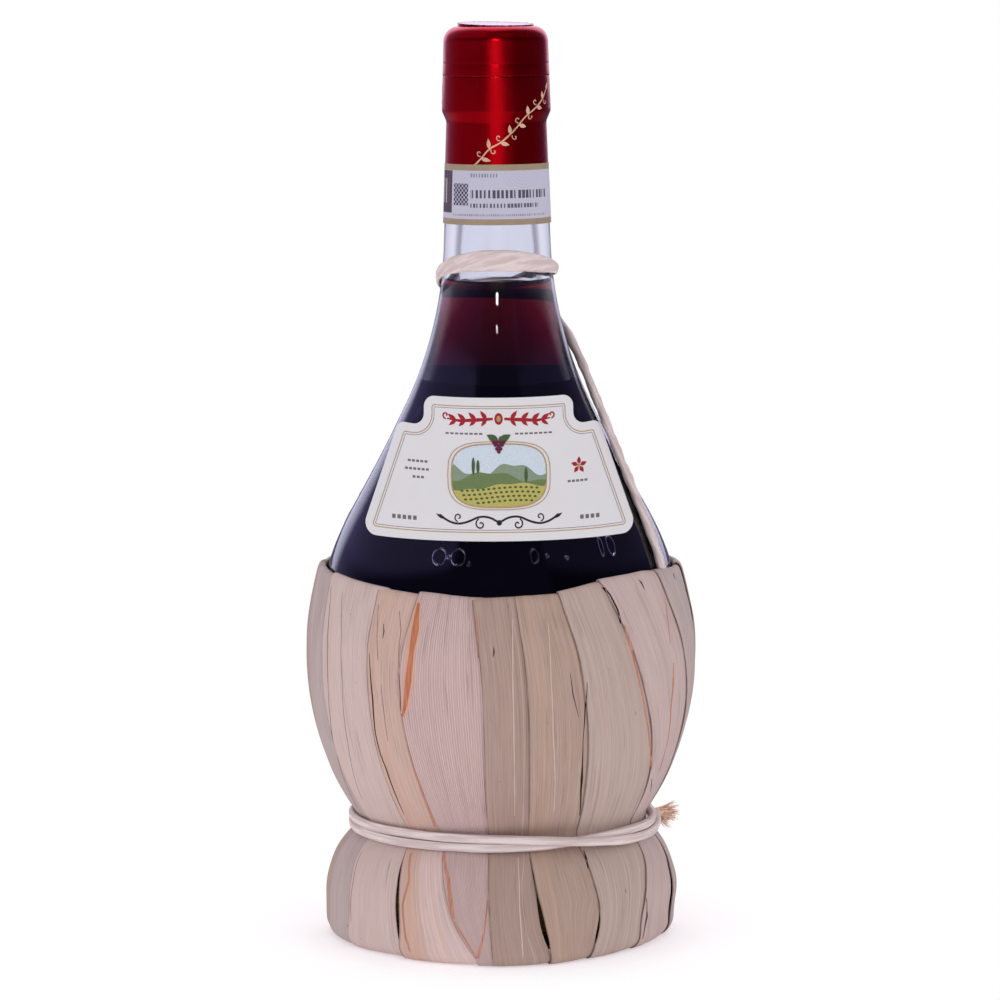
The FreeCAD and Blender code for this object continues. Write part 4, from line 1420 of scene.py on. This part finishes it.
slits = {  # blade whose left edge opens: top, bottom, widest gap in mm
    2: (28.6, 4.4, 1.7), 5: (20.0, 4.4, 1.25), 6: (12.5, 4.6, 0.6), 8: (17.5, 4.4, 0.9),
    11: (19.0, 4.4, 1.1), 14: (24.0, 4.4, 1.4), 17: (15.0, 4.6, 0.8),
}
bladeSeeds = [dice.uniform(0, 50) for n in range(bladeCount)]
rimShift = [dice.uniform(-0.5, 0.5) for n in range(bladeCount)]
edgeHeights = bladeStations[::-1]


def lineAt(line, place):  # read between the points of a line
    return float(np.interp(place, *zip(*line)))


def edgeAt(n, z):  # left edge of blade n, eased between its stations
    whole, n = divmod(n, bladeCount)
    values = bladeEdges[n][::-1]
    z = min(max(z, edgeHeights[0]), edgeHeights[-1])
    k = max(i for i in range(4) if edgeHeights[i] <= z)
    h = edgeHeights[k + 1] - edgeHeights[k]
    slope = []
    for i in (k, k + 1):
        a, b = max(i - 1, 0), min(i + 1, 4)
        slope.append((values[b] - values[a]) / (edgeHeights[b] - edgeHeights[a]))
    t = (z - edgeHeights[k]) / h
    made = values[k] * (2 * t**3 - 3 * t**2 + 1) + slope[0] * h * (t**3 - 2 * t**2 + t)
    made += values[k + 1] * (3 * t**2 - 2 * t**3) + slope[1] * h * (t**3 - t**2)
    return made + 360 * whole + 0.25 * grainAt(z * 0.06, n * 7.3, 0.0)


def slitAt(n, z):  # half the gap at a blade's left edge, in degrees, and how far it is open
    number = n % bladeCount + 1
    if number not in slits:
        return 0.0, 0.0
    top, low, wide = slits[number]
    t = (z - low) / (top - low)
    if not 0 < t < 1:
        return 0.0, 1.0 - ease(abs(t - 0.5), 0.5, 1.2)
    shape = math.sin(math.pi * t**0.8) ** 0.8
    return math.degrees(wide / 2 * shape / blades["slitRadius"]), 1.0


def bladeSpan(n, z):  # left and right edge of blade n; the right one runs under the next blade
    rightGap, rightOpen = slitAt(n + 1, z)
    left = edgeAt(n, z) + slitAt(n, z)[0]
    right = edgeAt(n + 1, z) + blades["lap"] * (1 - rightOpen) - rightGap * rightOpen
    return left, right


def bladeLift(n, t, z, v):  # how far the middle of a blade stands off the cover's line
    bound = 0.45 + 0.55 * ease(abs(z - cover["waistHeight"]), 3.0, 14.0)
    lap = blades["lift"] * (1 - t) ** 1.5 + blades["under"] * t
    bow = blades["bow"] * (4 * t * (1 - t) - 0.6)
    sway = blades["sway"] * grainAt(t * 1.7 + bladeSeeds[n], v * 0.035, 3.0)
    ripple = blades["ripple"] * grainAt(t * 9 + bladeSeeds[n], v * 0.012, 8.0)
    return bound * (lap + bow + sway) + ripple


def bladeSpot(n, row, t, out):  # row may fall between rows of the cover's line
    k = min(int(row), len(coverLine) - 2)
    share = row - k
    r, z = Vector(coverLine[k]).lerp(Vector(coverLine[k + 1]), share)
    nr, nz = Vector(coverWay[k]).lerp(Vector(coverWay[k + 1]), share).normalized()
    v = coverLength[k] + (coverLength[k + 1] - coverLength[k]) * share
    station = max(z, bladeStations[-1]) if row >= outsideStart else cover["rimHeight"]
    left, right = bladeSpan(n, station)
    azimuth = left + (right - left) * t
    bearing = (azimuth + 180) % 360 - 180
    away = bladeLift(n, t, z, v) * (1.0 if row >= outsideStart - 4 else 0.6) + out
    lean = lineAt(rimLine, bearing) + rimShift[n] * (1 - 0.4 * t)
    lean += blades["ragged"] * grainAt(azimuth * 0.12, n, 6.0)
    toRight = max(0.0, math.sin(math.radians(azimuth)))
    r += lineAt(footLine, bearing) * (1 - ease(z, 3.0, 25.0))
    r -= blades["rightIn"] * toRight**2 * (1 - ease(z, 4.0, 16.0))
    r += lineAt(fullness, z)
    r += blades["rightFull"] * toRight * ease(z, 50.0, 75.0) * (1 - ease(z, 84.0, 100.0))
    if row < outsideStart:  # the flap leans in to the glass
        share = min((outsideStart - row) / blades["flapRows"], 1.0)
        r -= share * max(r - glassAt(z) - blades["flapGap"], 0.0)
    z += lean * ease(z, 84.0, 106.5)
    if row > outsideEnd:
        away = min(away, 0.05)
    return polar(azimuth, r + nr * away, max(z + nz * away, 0.02))


def bladeMesh(n):
    rows = list(range(len(coverLine)))
    cols = blades["columns"]
    grid = [[(row, j / cols) for j in range(cols + 1)] for row in rows]
    left, right = bladeSpan(n, bladeStations[1])
    width = math.radians(right - left) * cover["radius"]
    flat = [[(j / cols * width + n * strawRun, coverLength[row]) for j in range(cols + 1)] for row in rows]

    def lay(row, t, side):
        thin = blades["thin"] + (1 - blades["thin"]) * ease(min(t, 1 - t), 0.0, 0.08)
        return bladeSpot(n, row, t, side * cover["thickness"] / 2 * thin)

    return slab(grid, lay, -1.0, 1.0, flip=True, flat=flat)


for n, kind in enumerate(bladeStraw):
    number = f"{n + 1:02d}"
    addPiece("strawBlade" + number, bladeMesh(n), straws[kind], ["straw_blade_" + number], crease=50)
print("blades")


# stains and veins that lie on the blades, and cracks: dark strips of painted shade for splits and for gaps at
# the blades' edges
def topBlade(azimuth, z):  # the blade that is seen there, and the share of its width
    for n in reversed(range(bladeCount)):
        for turn in (0, -360, 360):
            left = bladeSpan(n, z)[0] + turn
            if left <= azimuth < edgeAt(n + 1, z) + turn:
                return n, min((azimuth - left) / (bladeSpan(n, z)[1] + turn - left), 1.0)
    return 0, 0.5


def onStraw(azimuth, z, out):
    n, t = topBlade(azimuth, z)
    return bladeSpot(n, outsideIndex(z), t, cover["thickness"] / 2 + out)


def stainFinish(name, light, dark):
    made, root, shader = newFinish(name, {"Roughness": 0.66, "Specular IOR Level": 0.3})
    u, v = root.uv()
    fibre = root.noise(u * 3.4, v * 0.10, 2.0, 4.0, 0.65)
    feed(shader, Base_Color=fibre.step(0.32, 0.68).mix(dark, light), Normal=fibre.bump(0.4, 0.0003))
    return made


markTones = {  # light and dark
    "strawStain": ((192, 124, 96), (158, 90, 64)), "strawVein": ((196, 140, 118), (166, 106, 88)),
    # the crack colours are painted shade, seen in splits and gaps between blades
    "strawCrackShade": ((46, 32, 30), (22, 14, 16)), "strawFold": ((132, 102, 88), (98, 72, 62)),
    "strawBlush": ((206, 160, 138), (192, 146, 128)), "strawPale": ((208, 188, 176), (192, 168, 154)),
}
marks = [stainFinish(name, paint(*light), paint(*dark)) for name, (light, dark) in markTones.items()]
stain, veinMark, crackShade, foldMark, blush, paleMark = range(len(marks))
markRadius = 50.0  # the marks are drawn flat at this radius
markSunk = 0.12
markLines = [  # kind, how far it stands off, and points as azimuth, height and width
    (blush, 0.025, [
        (-25.2, 105.4, 0.8), (-25.6, 101.0, 2.4), (-25.7, 96.2, 3.2), (-26.5, 89.2, 2.8),
        (-27.2, 80.8, 3.0), (-28.4, 73.6, 2.2), (-29.8, 70.3, 1.0),
    ]),
    (stain, 0.05, [
        (-25.3, 104.6, 0.7), (-25.5, 101.0, 1.2), (-25.5, 96.2, 1.9), (-26.3, 89.2, 1.3),
        (-27.3, 80.8, 1.7), (-28.5, 73.6, 1.1), (-29.8, 70.3, 0.4),
    ]),
    (veinMark, 0.04, [
        (-30.2, 70.3, 0.5), (-29.5, 63.4, 0.6), (-28.4, 55.7, 0.75), (-26.7, 47.1, 0.9),
        (-25.6, 37.5, 0.9),
    ]),
    (veinMark, 0.04, [
        (-22.0, 29.8, 0.8), (-18.2, 23.3, 1.0), (-15.7, 15.6, 1.1), (-14.8, 12.6, 0.7),
        (-11.5, 8.5, 0.35), (-7.6, 3.0, 0.3),
    ]),
    (veinMark, 0.04, [(-4.6, 18.4, 0.3), (-5.4, 10.1, 0.4), (-7.2, 3.0, 0.7)]),
    (veinMark, 0.04, [
        (39.1, 94.4, 0.5), (41.8, 85.5, 0.7), (44.5, 77.2, 0.6), (47.9, 68.7, 0.5),
        (51.9, 61.1, 0.45), (57.5, 51.5, 0.4),
    ]),
    (veinMark, 0.04, [(60.7, 100.0, 0.2), (59.8, 95.0, 0.4), (59.0, 87.2, 0.2)]),
    (veinMark, 0.04, [
        (60.8, 81.8, 0.3), (60.8, 75.9, 0.9), (60.7, 69.2, 0.6), (63.5, 59.9, 0.5),
        (64.5, 50.0, 0.4),
    ]),
    (veinMark, 0.04, [
        (-35.6, 29.0, 0.5), (-32.5, 22.4, 0.7), (-33.2, 15.6, 0.6), (-31.4, 7.2, 0.7),
        (-29.7, 3.2, 0.5),
    ]),
    (veinMark, 0.03, [(-7.2, 102.6, 0.3), (-6.6, 95.0, 0.35), (-6.3, 88.0, 0.25)]),
    (foldMark, 0.03, [
        (-64.1, 104.0, 0.12), (-62.1, 96.7, 0.2), (-60.9, 86.7, 0.2), (-61.0, 76.4, 0.18),
        (-62.0, 67.3, 0.2), (-66.0, 52.7, 0.25), (-68.2, 43.7, 0.25), (-70.3, 38.6, 0.12),
    ]),
    (foldMark, 0.03, [
        (-57.0, 103.5, 0.1), (-54.0, 92.0, 0.14), (-53.2, 78.0, 0.12), (-54.6, 60.0, 0.16),
        (-58.0, 43.0, 0.1),
    ]),
    (foldMark, 0.03, [(-60.5, 27.0, 0.1), (-58.2, 18.0, 0.16), (-57.4, 8.0, 0.12)]),
    (foldMark, 0.03, [(-39.6, 103.0, 0.12), (-38.7, 95.4, 0.16), (-37.7, 85.6, 0.1)]),
    (foldMark, 0.03, [(-36.7, 78.9, 0.1), (-36.2, 71.0, 0.16), (-36.1, 62.8, 0.1)]),
    (foldMark, 0.03, [
        (-31.7, 102.0, 0.1), (-30.5, 96.0, 0.16), (-30.8, 88.2, 0.16), (-30.0, 76.7, 0.18),
        (-30.3, 70.0, 0.2),
    ]),
    (crackShade, 0.04, [
        (-41.0, 87.4, 0.08), (-40.4, 80.9, 0.25), (-39.9, 74.4, 0.4), (-40.3, 64.8, 0.3),
        (-39.8, 58.9, 0.25), (-38.7, 54.1, 0.35), (-37.8, 46.4, 0.3), (-37.4, 40.6, 0.15),
    ]),
    (crackShade, 0.04, [(48.0, 105.5, 0.1), (49.0, 104.6, 0.5), (49.9, 102.6, 0.1)]),
    (crackShade, 0.04, [(20.3, 83.0, 0.08), (21.1, 77.0, 0.22), (23.1, 70.3, 0.1)]),
    (crackShade, 0.04, [
        (25.4, 80.0, 0.08), (25.1, 72.0, 0.3), (25.2, 63.0, 0.15), (26.0, 56.0, 0.35),
        (26.6, 52.0, 0.75), (27.2, 48.0, 0.5), (29.3, 40.4, 0.25),
    ]),
    (crackShade, 0.04, [(32.0, 29.6, 0.12), (31.6, 27.6, 0.6), (31.1, 25.0, 0.12)]),
    (crackShade, 0.04, [(32.6, 106.4, 0.2), (35.2, 103.2, 0.35), (37.3, 98.8, 0.45), (38.0, 95.2, 0.15)]),
    (crackShade, 0.04, [(-36.6, 97.4, 0.08), (-36.2, 94.8, 0.3), (-36.4, 92.6, 0.1)]),
    (crackShade, 0.04, [(-1.9, 91.6, 0.1), (-1.8, 90.0, 0.35), (-2.1, 88.4, 0.1)]),
    (crackShade, 0.04, [(70.5, 106.6, 0.1), (70.6, 105.8, 0.7), (70.7, 104.2, 0.1)]),
    (crackShade, 0.04, [(10.1, 29.0, 0.08), (10.8, 23.3, 0.2), (11.4, 19.1, 0.3)]),
    (crackShade, 0.04, [
        (53.6, 14.5, 0.1), (54.0, 10.6, 0.35), (54.3, 9.2, 0.75), (53.3, 6.0, 0.4),
        (52.6, 3.2, 0.2),
    ]),
    (crackShade, 0.04, [(60.3, 48.3, 0.1), (62.4, 46.0, 0.3), (64.6, 43.8, 0.1)]),
    (paleMark, 0.025, [(3.7, 101.0, 0.15), (3.5, 81.6, 0.25), (3.8, 64.4, 0.25), (4.5, 41.6, 0.2)]),
    (paleMark, 0.025, [(5.9, 29.1, 0.25), (5.4, 15.8, 0.3), (5.9, 3.2, 0.25)]),
    (paleMark, 0.025, [(14.2, 99.0, 0.15), (14.5, 81.3, 0.2), (15.6, 64.0, 0.2), (18.5, 42.7, 0.15)]),
    (veinMark, 0.03, [(147.0, 99.0, 0.4), (148.5, 80.0, 0.6), (150.0, 52.0, 0.5)]),
    (stain, 0.04, [(188.0, 92.0, 0.6), (188.6, 80.0, 1.5), (188.0, 66.0, 0.8)]),
    (foldMark, 0.03, [(208.0, 100.0, 0.15), (209.0, 78.0, 0.25), (206.0, 50.0, 0.2)]),
    (crackShade, 0.04, [(231.0, 84.0, 0.1), (231.6, 76.0, 0.4), (231.2, 70.0, 0.1)]),
]
parts = []
for number, lift, spots in markLines:
    flatLine = [(math.radians(azimuth) * markRadius, z) for azimuth, z, wide in spots]
    grid = strip(flatLine, [wide for azimuth, z, wide in spots], 0.9)
    angles = [[(math.degrees(x / markRadius), z) for x, z in row] for row in grid]
    parts.append((number, slab(angles, onStraw, -markSunk, lift, flat=grid)))
addPiece("strawMarks", joined(parts), marks)
print("marks")


# straw ring in the foot
ringLow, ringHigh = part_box("base_ring")
base = dict(strands=34, relief=0.32, twist=9, rough=0.25)
ringHalf = (ringHigh[2] - ringLow[2]) / 2 / mm
ringRadius = ringHigh[0] / mm - ringHalf
ringHeight = ringLow[2] / mm + ringHalf


def ringFinish():
    made, root, shader = newFinish("ringStrawPaintedShade", {"Roughness": 0.8, "Specular IOR Level": 0.2})
    u, v = root.uv()
    fibre = root.noise(u * 0.06, v * 1.1, 3.0, 4.0, 0.65)
    # the ring is coloured dark brown: painted shade of the hollow seen through the slits in the foot
    tone = fibre.step(0.3, 0.7).mix(paint(62, 44, 32), paint(118, 90, 64))
    feed(shader, Base_Color=tone, Normal=fibre.bump(0.5, 0.0006))
    return made


points, faces, uv = [], [], []
around, across = 240, 72
for i in range(around):
    a = 2 * math.pi * i / around
    for j in range(across):
        b = 2 * math.pi * j / across
        lump = abs(math.sin(base["strands"] / 2 * (b + a * base["twist"] / base["strands"])))
        unevenness = 0.5 + grainAt(math.sin(a) * 8, math.cos(a) * 8, b)
        r = ringHalf - base["relief"] * (1 - lump) - base["rough"] * unevenness
        points.append(polar(math.degrees(a), ringRadius + r * math.cos(b), ringHeight + r * math.sin(b)))
        k, m = (i + 1) % around, (j + 1) % across
        faces.append([i * across + j, k * across + j, k * across + m, i * across + m])
        uv.append([(i, j), (i + 1, j), (i + 1, j + 1), (i, j + 1)])
addPiece("footRing", (points, faces, uv), ringFinish(), ["base_ring"], crease=80)


def hoopFinish():
    made, root, shader = newFinish("hoopReed", {"Roughness": 0.7, "Specular IOR Level": 0.3})
    x, y, z = root.place()
    grain = root.noise(x * 300, y * 300, z * 900, 4.0, 0.6)
    tone = grain.step(0.3, 0.7).mix(paint(110, 86, 62), paint(160, 132, 100))
    feed(shader, Base_Color=tone, Normal=grain.bump(0.3, 0.0003))
    return made


hoopReed = hoopFinish()
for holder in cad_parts["rim_hoop"].material_slots:
    holder.material = hoopReed
print("ring and hoop")


# plain pale floor, white surround and soft light
studio = dict(ambient=0.72, glow=0.36, floor=0.86, reach=12.0)
rayNames = ("Is Camera Ray", "Is Transmission Ray", "Is Glossy Ray")


# what glass and gloss see of the room: a pale strip in front, dim blue sides, and pale behind
def roomTone(x, y, z, through):
    turn = x.fn("ABSOLUTE").fn("ARCTAN2", 0.0 - y) * (180 / math.pi)  # 0 in front of the label, 180 behind
    high = z.step(0.05, 0.25)
    if through:
        front = high.mix((0.22, 0.19, 0.28, 1.0), (0.030, 0.026, 0.045, 1.0))
        side = high.mix((0.36, 0.35, 0.44, 1.0), (0.05, 0.045, 0.13, 1.0))
        behind = (0.815, 0.823, 0.94, 1.0)
        back = turn.step(122.0, 150.0)
    else:
        strip = (1.0 - turn.step(7.0, 23.0)) * (1.0 - high)
        front = high.mix((0.22, 0.18, 0.30, 1.0), (0.055, 0.048, 0.12, 1.0))
        under = (0.0 - z).step(0.20, 0.42)
        front = under.mix(front, (0.50, 0.42, 0.50, 1.0))
        front = strip.mix(front, (0.90, 0.83, 0.86, 1.0))
        side = high.mix((0.25, 0.20, 0.42, 1.0), (0.05, 0.045, 0.13, 1.0))
        side = (z + turn * 0.004).step(0.62, 0.74).mix(side, (0.26, 0.22, 0.53, 1.0))
        side = under.mix(side, (0.42, 0.36, 0.52, 1.0))
        side = ((x > 0.0) * 0.6).mix(side, (0.0, 0.0, 0.0, 1.0))
        level = z.step(-0.06, 0.02)
        behind = level.mix((0.16, 0.13, 0.24, 1.0), (1.2, 1.2, 1.6, 1.0))
        back = (turn + level * 12.0).step(151.0, 163.0)
    return back.mix(turn.step(33.0, 39.0).mix(front, side), behind)


def byRay(root, plain, looks, kind):  # a look for each kind of ray, and a plain one for the rest
    made = plain
    for name, look in zip(rayNames[::-1], looks[::-1]):
        ray = root.node("LightPath", None, None, out=name)
        made = root.node("MixShader", None, {0: ray, 1: made, 2: look})
    output = [n for n in root.tree.nodes if n.bl_idname == kind][0]
    root.tree.links.new(made.socket, output.inputs["Surface"])


def floorFinish():
    made, root, shader = newFinish("studioFloor", {"Roughness": 0.9, "Specular IOR Level": 0.0})
    x, y = root.place()[:2]
    mottle = root.noise(x * 3, y * 3, 1.0, 2.0)
    pale = studio["floor"]
    tone = mottle.mix((pale, pale, pale, 1.0), (pale * 1.01, pale * 1.01, pale * 1.015, 1.0))
    feed(shader, Base_Color=tone)
    plain = Wire(root.tree, shader.outputs[0])
    glow = root.node("Emission", None, {"Color": (0.99, 0.985, 1.0, 1.0), "Strength": studio["glow"]})
    near = root.node("AddShader", None, {0: plain, 1: glow})
    # near the foot the camera sees a dimmer lavender glow: painted lavender tint of the contact shadow
    shadowTintGlow = root.node("Emission", None, {"Color": (0.97, 0.91, 1.0, 1.0), "Strength": studio["glow"] * 0.92})
    foot = root.node("AddShader", None, {0: plain, 1: shadowTintGlow})
    far = root.node("Emission", None, {"Color": (1.0, 1.0, 1.0, 1.0), "Strength": 1.0})
    reach = (x * x + y * y).fn("SQRT")
    away = reach.step(0.056, 0.086)
    fall = -0.24 / reach.fn("MAXIMUM", 0.1)  # how steeply the capsule sees the floor there
    looks = [root.node("MixShader", None, {0: away, 1: foot, 2: far})]
    for through in (True, False):
        room = roomTone(x, y, fall, through)
        looks.append(root.node("Emission", None, {"Color": room, "Strength": 1.0}))
    byRay(root, near, looks, "ShaderNodeOutputMaterial")
    return made


floorMesh = bpy.data.meshes.new("studioFloor")
far = studio["reach"]
floorCorners = [(-far, -far, 0), (far, -far, 0), (far, far, 0), (-far, far, 0)]
floorMesh.from_pydata(floorCorners, [], [[0, 1, 2, 3]])
floorMesh.materials.append(floorFinish())
floorPiece = bpy.data.objects.new("studioFloor", floorMesh)
bpy.context.scene.collection.objects.link(floorPiece)
floorPiece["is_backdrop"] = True


def studioWorld():
    world = bpy.data.worlds.new("studio")
    world.use_nodes = True
    root = Wire(world.node_tree)
    way = root.node("TexCoord", None, None, out=0)
    x, y, z = [root.node("SeparateXYZ", None, {0: way}, out=i) for i in (0, 1, 2)]
    plain = root.node("Background", None, {"Color": (1.0, 1.0, 1.0, 1.0), "Strength": studio["ambient"]})
    looks = [root.node("Background", None, {"Color": (1.0, 1.0, 1.0, 1.0), "Strength": 1.0})]
    for through in (True, False):
        room = roomTone(x, y, z, through)
        looks.append(root.node("Background", None, {"Color": room, "Strength": 1.0}))
    byRay(root, plain, looks, "ShaderNodeOutputWorld")
    bpy.context.scene.world = world


studioWorld()
lamps = [  # name, azimuth, elevation, distance, height aimed at, width, height, watts, pieces it glints on
    ("softLeft", -58, 4, 1.3, 0.09, 0.9, 0.9, 5.2, []),
    ("softRight", 58, 4, 1.3, 0.09, 0.9, 0.9, 4.9, []),
    ("softBack", 180, 30, 1.4, 0.13, 0.9, 0.9, 3.6, []),
    ("softTop", 0, 86, 1.3, 0.13, 0.9, 0.9, 0.8, []),
    ("spark", -1, 12.8, 0.133, 0.1845, 0.0085, 0.0033, 0.0028, [flaskPiece]),
    ("sparkHigh", -1.5, 19.9, 0.138, 0.176, 0.0018, 0.0022, 0.0006, [flaskPiece]),
    ("sparkFoil", -1, 16.0, 0.5, 0.253, 0.05, 0.03, 0.14, [capPiece, skirtPiece]),
    ("topFoil", 0, 52.0, 0.6, 0.253, 0.6, 0.4, 0.10, [capPiece]),
]
for name, azimuth, rise, away, aim, wide, tall, watts, glints in lamps:
    data = bpy.data.lights.new(name, "AREA")
    data.shape, data.size, data.size_y, data.energy = "RECTANGLE", wide, tall, watts
    lamp = bpy.data.objects.new(name, data)
    bpy.context.scene.collection.objects.link(lamp)
    h = math.radians(rise)
    spot = Vector(polar(azimuth, math.cos(h) * away, math.sin(h) * away)) + Vector((0, 0, aim))
    lamp.location = spot
    lamp.rotation_euler = (Vector((0, 0, aim)) - spot).to_track_quat("-Z", "Y").to_euler()
    lamp.visible_glossy = len(glints) > 0
    lamp.visible_transmission = False
    lamp.visible_camera = False
    if glints:
        group = bpy.data.collections.new(name)
        for piece in glints:
            group.objects.link(piece)
        lamp.light_linking.receiver_collection = group
print("studio")

fullBox = [[float(v) for v in corner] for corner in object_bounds()]
for name, box in (("cad box", cadBox), ("visual box", fullBox)):
    print(name, [[round(v, 4) for v in corner] for corner in box])
